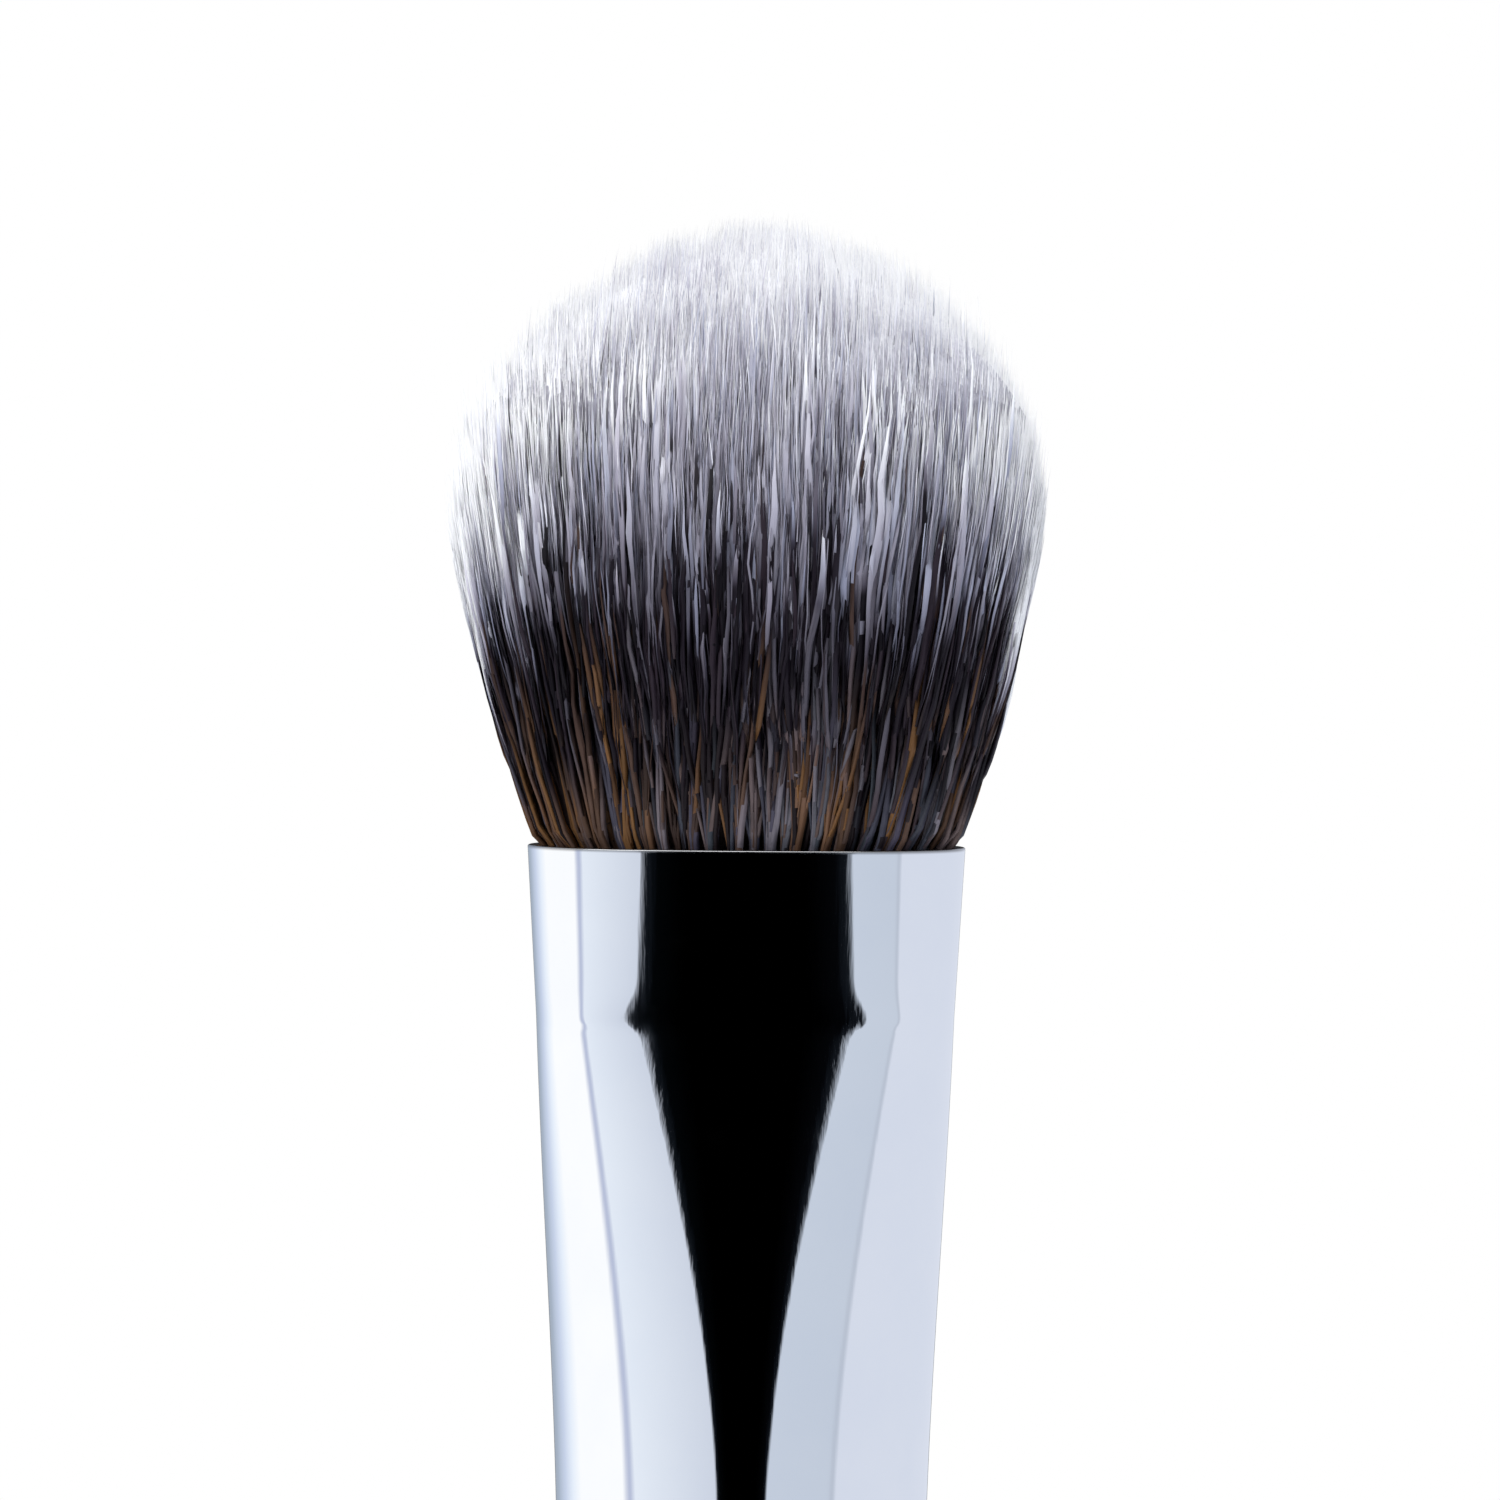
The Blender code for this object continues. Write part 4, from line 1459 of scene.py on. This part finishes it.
@dataclass
class BristleHead:
    """The flat domed head, grown in bands from the front face to the back one round a packed core."""

    form: HeadForm = HeadForm()
    habit: Habit = Habit()
    kinds: tuple = (LOCKS, STRANDS, SPLIT_ENDS)
    seed: int = 71
    seeds_to_a_row: int = 100
    seeds_to_a_kind: int = 50
    core_foot_share: float = 0.98
    core_share: float = 0.87
    core_swell: float = 0.09
    core_drop: float = 0.00075
    core_face_drop: float = 1.6
    core_face_power: float = 3.0
    core_corner_power: float = 0.8
    core_around: int = 96
    core_wall_steps: int = 24
    core_cap_steps: int = 12
    core_finish: PackedCore = PackedCore()

    def tip(self, u: float, v: float) -> float:
        """How high the dome is over a root, as in the growth tree.

        Args:
            u, v: Where the root is across and through the mouth.

        Returns:
            The height over the lip.
        """
        arch = max(1.0 - u * u, 0.0) ** self.habit.dome_power
        dome = arch * (1.0 - self.form.face_drop * abs(v) ** self.habit.face_power)
        return lerp(self.form.side_reach, self.form.reach, dome)

    def place(self, u: float, v: float, height: float) -> tuple:
        """Where a strand is, as in the growth tree but for the tuck.

        Args:
            u, v: Where it is rooted across and through the mouth.
            height: How high over the lip.

        Returns:
            The point.
        """
        form, habit = self.form, self.habit
        above = max(height, 0.0)
        level = min(above, form.face_fan_height)
        side_rise = form.side_fan * (above - above * above / (2.0 * form.side_fan_height))
        face_rise = form.face_fan * (level - level * level / (2.0 * form.face_fan_height))
        outward = math.copysign(abs(u) ** (habit.fan_power - math.copysign(habit.fan_skew, u)), u)
        drift = form.top_lean * (above / form.reach) ** habit.drift_power
        low, high = habit.lip_span
        flare = form.lip_flare * ease(min(max((height - low) / (high - low), 0.0), 1.0))
        return (
            u * (form.root_half_width + flare * min(u * u + v * v, 1.0)) + outward * side_rise + drift,
            v * (form.root_half_thickness + face_rise + habit.face_flare * flare),
            height + form.mouth_height,
        )

    def core_point(self, spread: float, climb: float, angle: float) -> tuple:
        """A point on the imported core.

        Args:
            spread: How far out from the head's middle line, as a share.
            climb: How far up from the roots, as a share.
            angle: Where it stands round the middle line.

        Returns:
            The point.
        """
        sides = (math.cos(angle), math.sin(angle))
        across, through = (math.copysign(abs(side) ** self.core_corner_power, side) for side in sides)
        u = spread * across * lerp(self.core_foot_share, self.core_share, min(2.0 * climb, 1.0))
        v = self.core_share * spread * through * (1.0 + self.core_swell * climb * climb)
        top = self.tip(u, v) - self.core_drop * (1.0 + self.core_face_drop * abs(v) ** self.core_face_power)
        return self.place(u, v, lerp(-ROOT_DEPTH, top, climb))

    def pack_core(self, rows: list) -> None:
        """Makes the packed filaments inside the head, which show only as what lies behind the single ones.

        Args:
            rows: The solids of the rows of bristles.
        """
        shares = [(1.0, step / self.core_wall_steps) for step in range(self.core_wall_steps + 1)]
        shares += [(math.cos(angle), 1.0) for angle in quarter(self.core_cap_steps)[1:-1]]
        angles = [2 * math.pi * step / self.core_around for step in range(self.core_around)]
        rings = []
        for spread, climb in reversed(shares):
            rings.append([self.core_point(spread, climb, angle) for angle in angles])
        fit(loft("bristle_core", rings, closed=False), rows, self.core_finish.make())

    def build(self, rows: list) -> None:
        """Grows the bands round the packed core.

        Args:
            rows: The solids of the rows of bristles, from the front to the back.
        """
        self.pack_core(rows)
        tree = GrowthTree(self.habit)
        dye = FilamentDye(self.form.dye_lots).make()
        edges = [lerp(-1.0, 1.0, row / len(rows)) for row in range(len(rows) + 1)]
        for row, solid in enumerate(rows):
            for order, kind in enumerate(self.kinds):
                band = Band(
                    filaments=kind.counts[row],
                    joints=kind.joints,
                    seed=self.seed + self.seeds_to_a_row * row + self.seeds_to_a_kind * order,
                    front_edge=edges[row],
                    back_edge=edges[row + 1],
                    foot_height=kind.foot_height,
                    foot_share=kind.foot_share,
                    length_scatter=kind.scatter,
                    filament_radius=kind.radius,
                    tuft_pull=kind.tuft_pull,
                    finish=dye,
                )
                fit(tree.grow(f"bristle_{kind.label}_{row + 1:02d}", self.form, band), [solid])


@dataclass
class Studio:
    """A white room with soft panels round the brush, a small pale floor, one soft lamp and the camera."""

    camera_distance: float = 0.3
    camera_elevation: float = 1.8
    camera_roll: float = 0.45
    aim: tuple = (0.00005, 0.0, 0.15375)
    frame_width: float = 0.0274
    sensor: float = 36.0
    clip: tuple = (0.01, 10.0)
    # The walls' colours by azimuth, from behind past the left, the front and the right
    panels: tuple = (
        (-180.0, grey(0.03)),
        (-174.0, grey(0.03)),
        (-172.0, display(163, 172, 184)),
        (-158.0, display(168, 180, 196, 1.05)),
        (-141.0, display(203, 213, 233, 1.06)),
        (-129.0, display(233, 240, 250, 1.08)),
        (-118.0, grey(1.08)),
        (-78.5, grey(1.08)),
        (-74.0, display(184, 191, 214, 1.09)),
        (-72.4, display(184, 191, 214, 1.09)),
        (-69.0, display(228, 234, 243, 1.1)),
        (-15.0, display(206, 212, 224, 1.1)),
        (-14.2, display(22, 26, 32)),
        (-13.4, display(3, 5, 7)),
        (-9.0, grey(0.0)),
        (9.0, grey(0.0)),
        (13.4, display(5, 6, 9)),
        (14.2, display(22, 26, 32)),
        (15.0, display(197, 205, 218, 1.1)),
        (54.5, display(195, 203, 216, 1.1)),
        (56.6, display(186, 193, 206, 1.1)),
        (58.0, display(186, 193, 206, 1.1)),
        (60.5, display(213, 218, 230, 1.1)),
        (172.0, display(213, 218, 230, 1.1)),
        (174.0, grey(0.03)),
    )
    ceiling: tuple = display(250, 252, 255, 1.15)
    ceiling_rise: tuple = (38.0, 56.0)
    ground: tuple = grey(0.62)
    ground_fall: tuple = (34.0, 60.0)
    floor_radius: float = 0.35
    floor_plain: float = 0.04
    floor_steps: int = 96
    floor_tints: tuple = (grey(0.86), grey(0.9))
    floor_mottle: float = 900.0
    floor_roughness: float = 0.75
    lamp_azimuth: float = -38.0
    lamp_elevation: float = 62.0
    lamp_distance: float = 1.2
    lamp_size: float = 1.5
    lamp_power: float = 12.8

    def light_room(self) -> None:
        """Writes the world: white where the camera looks, the panels for all other light."""
        world = bpy.data.worlds.new("studio_room")
        bpy.context.scene.world = world
        world.use_nodes = True
        graph = Graph(world.node_tree)
        graph.tree.nodes.clear()
        x, y, z = graph.parts(graph.result("ShaderNodeTexCoord", output="Generated"))
        azimuth = graph.math("ARCTAN2", x, y * -1.0)
        stops = tuple(((side + 180.0) / 360.0, *colour) for side, colour in self.panels)
        walls = graph.ramp(azimuth / math.tau + 0.5, stops)
        elevation = graph.math("ARCSINE", z)
        overhead = graph.rise(elevation, *(math.radians(angle) for angle in self.ceiling_rise))
        under = graph.rise(elevation * -1.0, *(math.radians(angle) for angle in self.ground_fall))
        room = graph.blend(under, graph.blend(overhead, walls, self.ceiling), self.ground)
        seen = graph.result("ShaderNodeLightPath", output="Is Camera Ray")
        backdrop = graph.result("ShaderNodeBackground", {"Color": graph.blend(seen, room, grey(1.0))})
        graph.node("ShaderNodeOutputWorld", {"Surface": backdrop})

    def lay_floor(self) -> None:
        """Makes the pale round floor, which turns into the white background away from the brush."""
        shape = bmesh.new()
        bmesh.ops.create_circle(shape, cap_ends=True, segments=self.floor_steps, radius=self.floor_radius)
        mesh = bpy.data.meshes.new("floor")
        shape.to_mesh(mesh)
        shape.free()
        graph = ShaderGraph("pale_floor")
        place = graph.place()
        x, y, _ = graph.parts(place)
        mottle = graph.noise(place, self.floor_mottle, detail=4.0)
        graph.set(Base_Color=graph.blend(mottle, *self.floor_tints), Roughness=self.floor_roughness)
        path = graph.node("ShaderNodeLightPath").outputs
        rays = ("Is Camera Ray", "Is Glossy Ray", "Is Transmission Ray")
        seen = sum(Value(graph, path[ray]) for ray in rays)
        far = graph.rise(graph.math("SQRT", x * x + y * y), self.floor_plain, self.floor_radius)
        mixed = graph.node("ShaderNodeMixShader")
        white = graph.result("ShaderNodeEmission")
        for socket, value in zip(mixed.inputs, (far * seen, graph.shader.outputs[0], white)):
            graph.feed(socket, value)
        graph.feed(graph.tree.nodes["Material Output"].inputs["Surface"], mixed.outputs[0])
        mesh.materials.append(graph.material)
        show(mesh)

    def direction(self, azimuth: float, elevation: float) -> Vector:
        """The direction from the brush to a place in the room, with azimuth 0 at the camera's side."""
        turn, rise = math.radians(azimuth), math.radians(elevation)
        return Vector((math.sin(turn) * math.cos(rise), -math.cos(turn) * math.cos(rise), math.sin(rise)))

    def hang_lamp(self) -> None:
        """Hangs the soft lamp, high on the left."""
        data = bpy.data.lights.new("soft_lamp", "AREA")
        data.shape, data.size, data.energy = "DISK", self.lamp_size, self.lamp_power
        lamp = bpy.data.objects.new("soft_lamp", data)
        away = self.direction(self.lamp_azimuth, self.lamp_elevation)
        lamp.location = Vector(self.aim) + away * self.lamp_distance
        lamp.rotation_euler = away.to_track_quat("Z", "Y").to_euler()
        lamp.visible_camera = False
        bpy.context.scene.collection.objects.link(lamp)

    def set_camera(self) -> None:
        """Sets the camera up square to the flat face, a little above the mouth."""
        data = bpy.data.cameras.new("camera")
        data.sensor_width = self.sensor
        data.lens = self.sensor * self.camera_distance / self.frame_width
        data.clip_start, data.clip_end = self.clip
        camera = bpy.data.objects.new("camera", data)
        away = self.direction(0.0, self.camera_elevation)
        camera.location = Vector(self.aim) + away * self.camera_distance
        roll = Euler((0.0, 0.0, math.radians(self.camera_roll))).to_matrix()
        camera.rotation_euler = (away.to_track_quat("Z", "Y").to_matrix() @ roll).to_euler()
        bpy.context.scene.collection.objects.link(camera)
        bpy.context.scene.camera = camera

    def build(self) -> None:
        """Sets up the room, the floor, the lamp and the camera."""
        bpy.context.scene.view_settings.view_transform = "Standard"
        self.light_room()
        self.lay_floor()
        self.hang_lamp()
        self.set_camera()


def main() -> None:
    """Builds the brush from the ferrule outward and sets it in the studio."""
    logging.basicConfig(level=logging.INFO, format="%(name)s: %(message)s")
    rows = [f"bristle_row_{row + 1:02d}" for row in range(ROW_COUNT)]
    ferrule = Ferrule()
    ferrule.build()
    Handle(ferrule).build()
    ResinParts(ferrule).build(rows)
    BristleHead().build(rows)
    Studio().build()


if __name__ == "__main__":
    main()
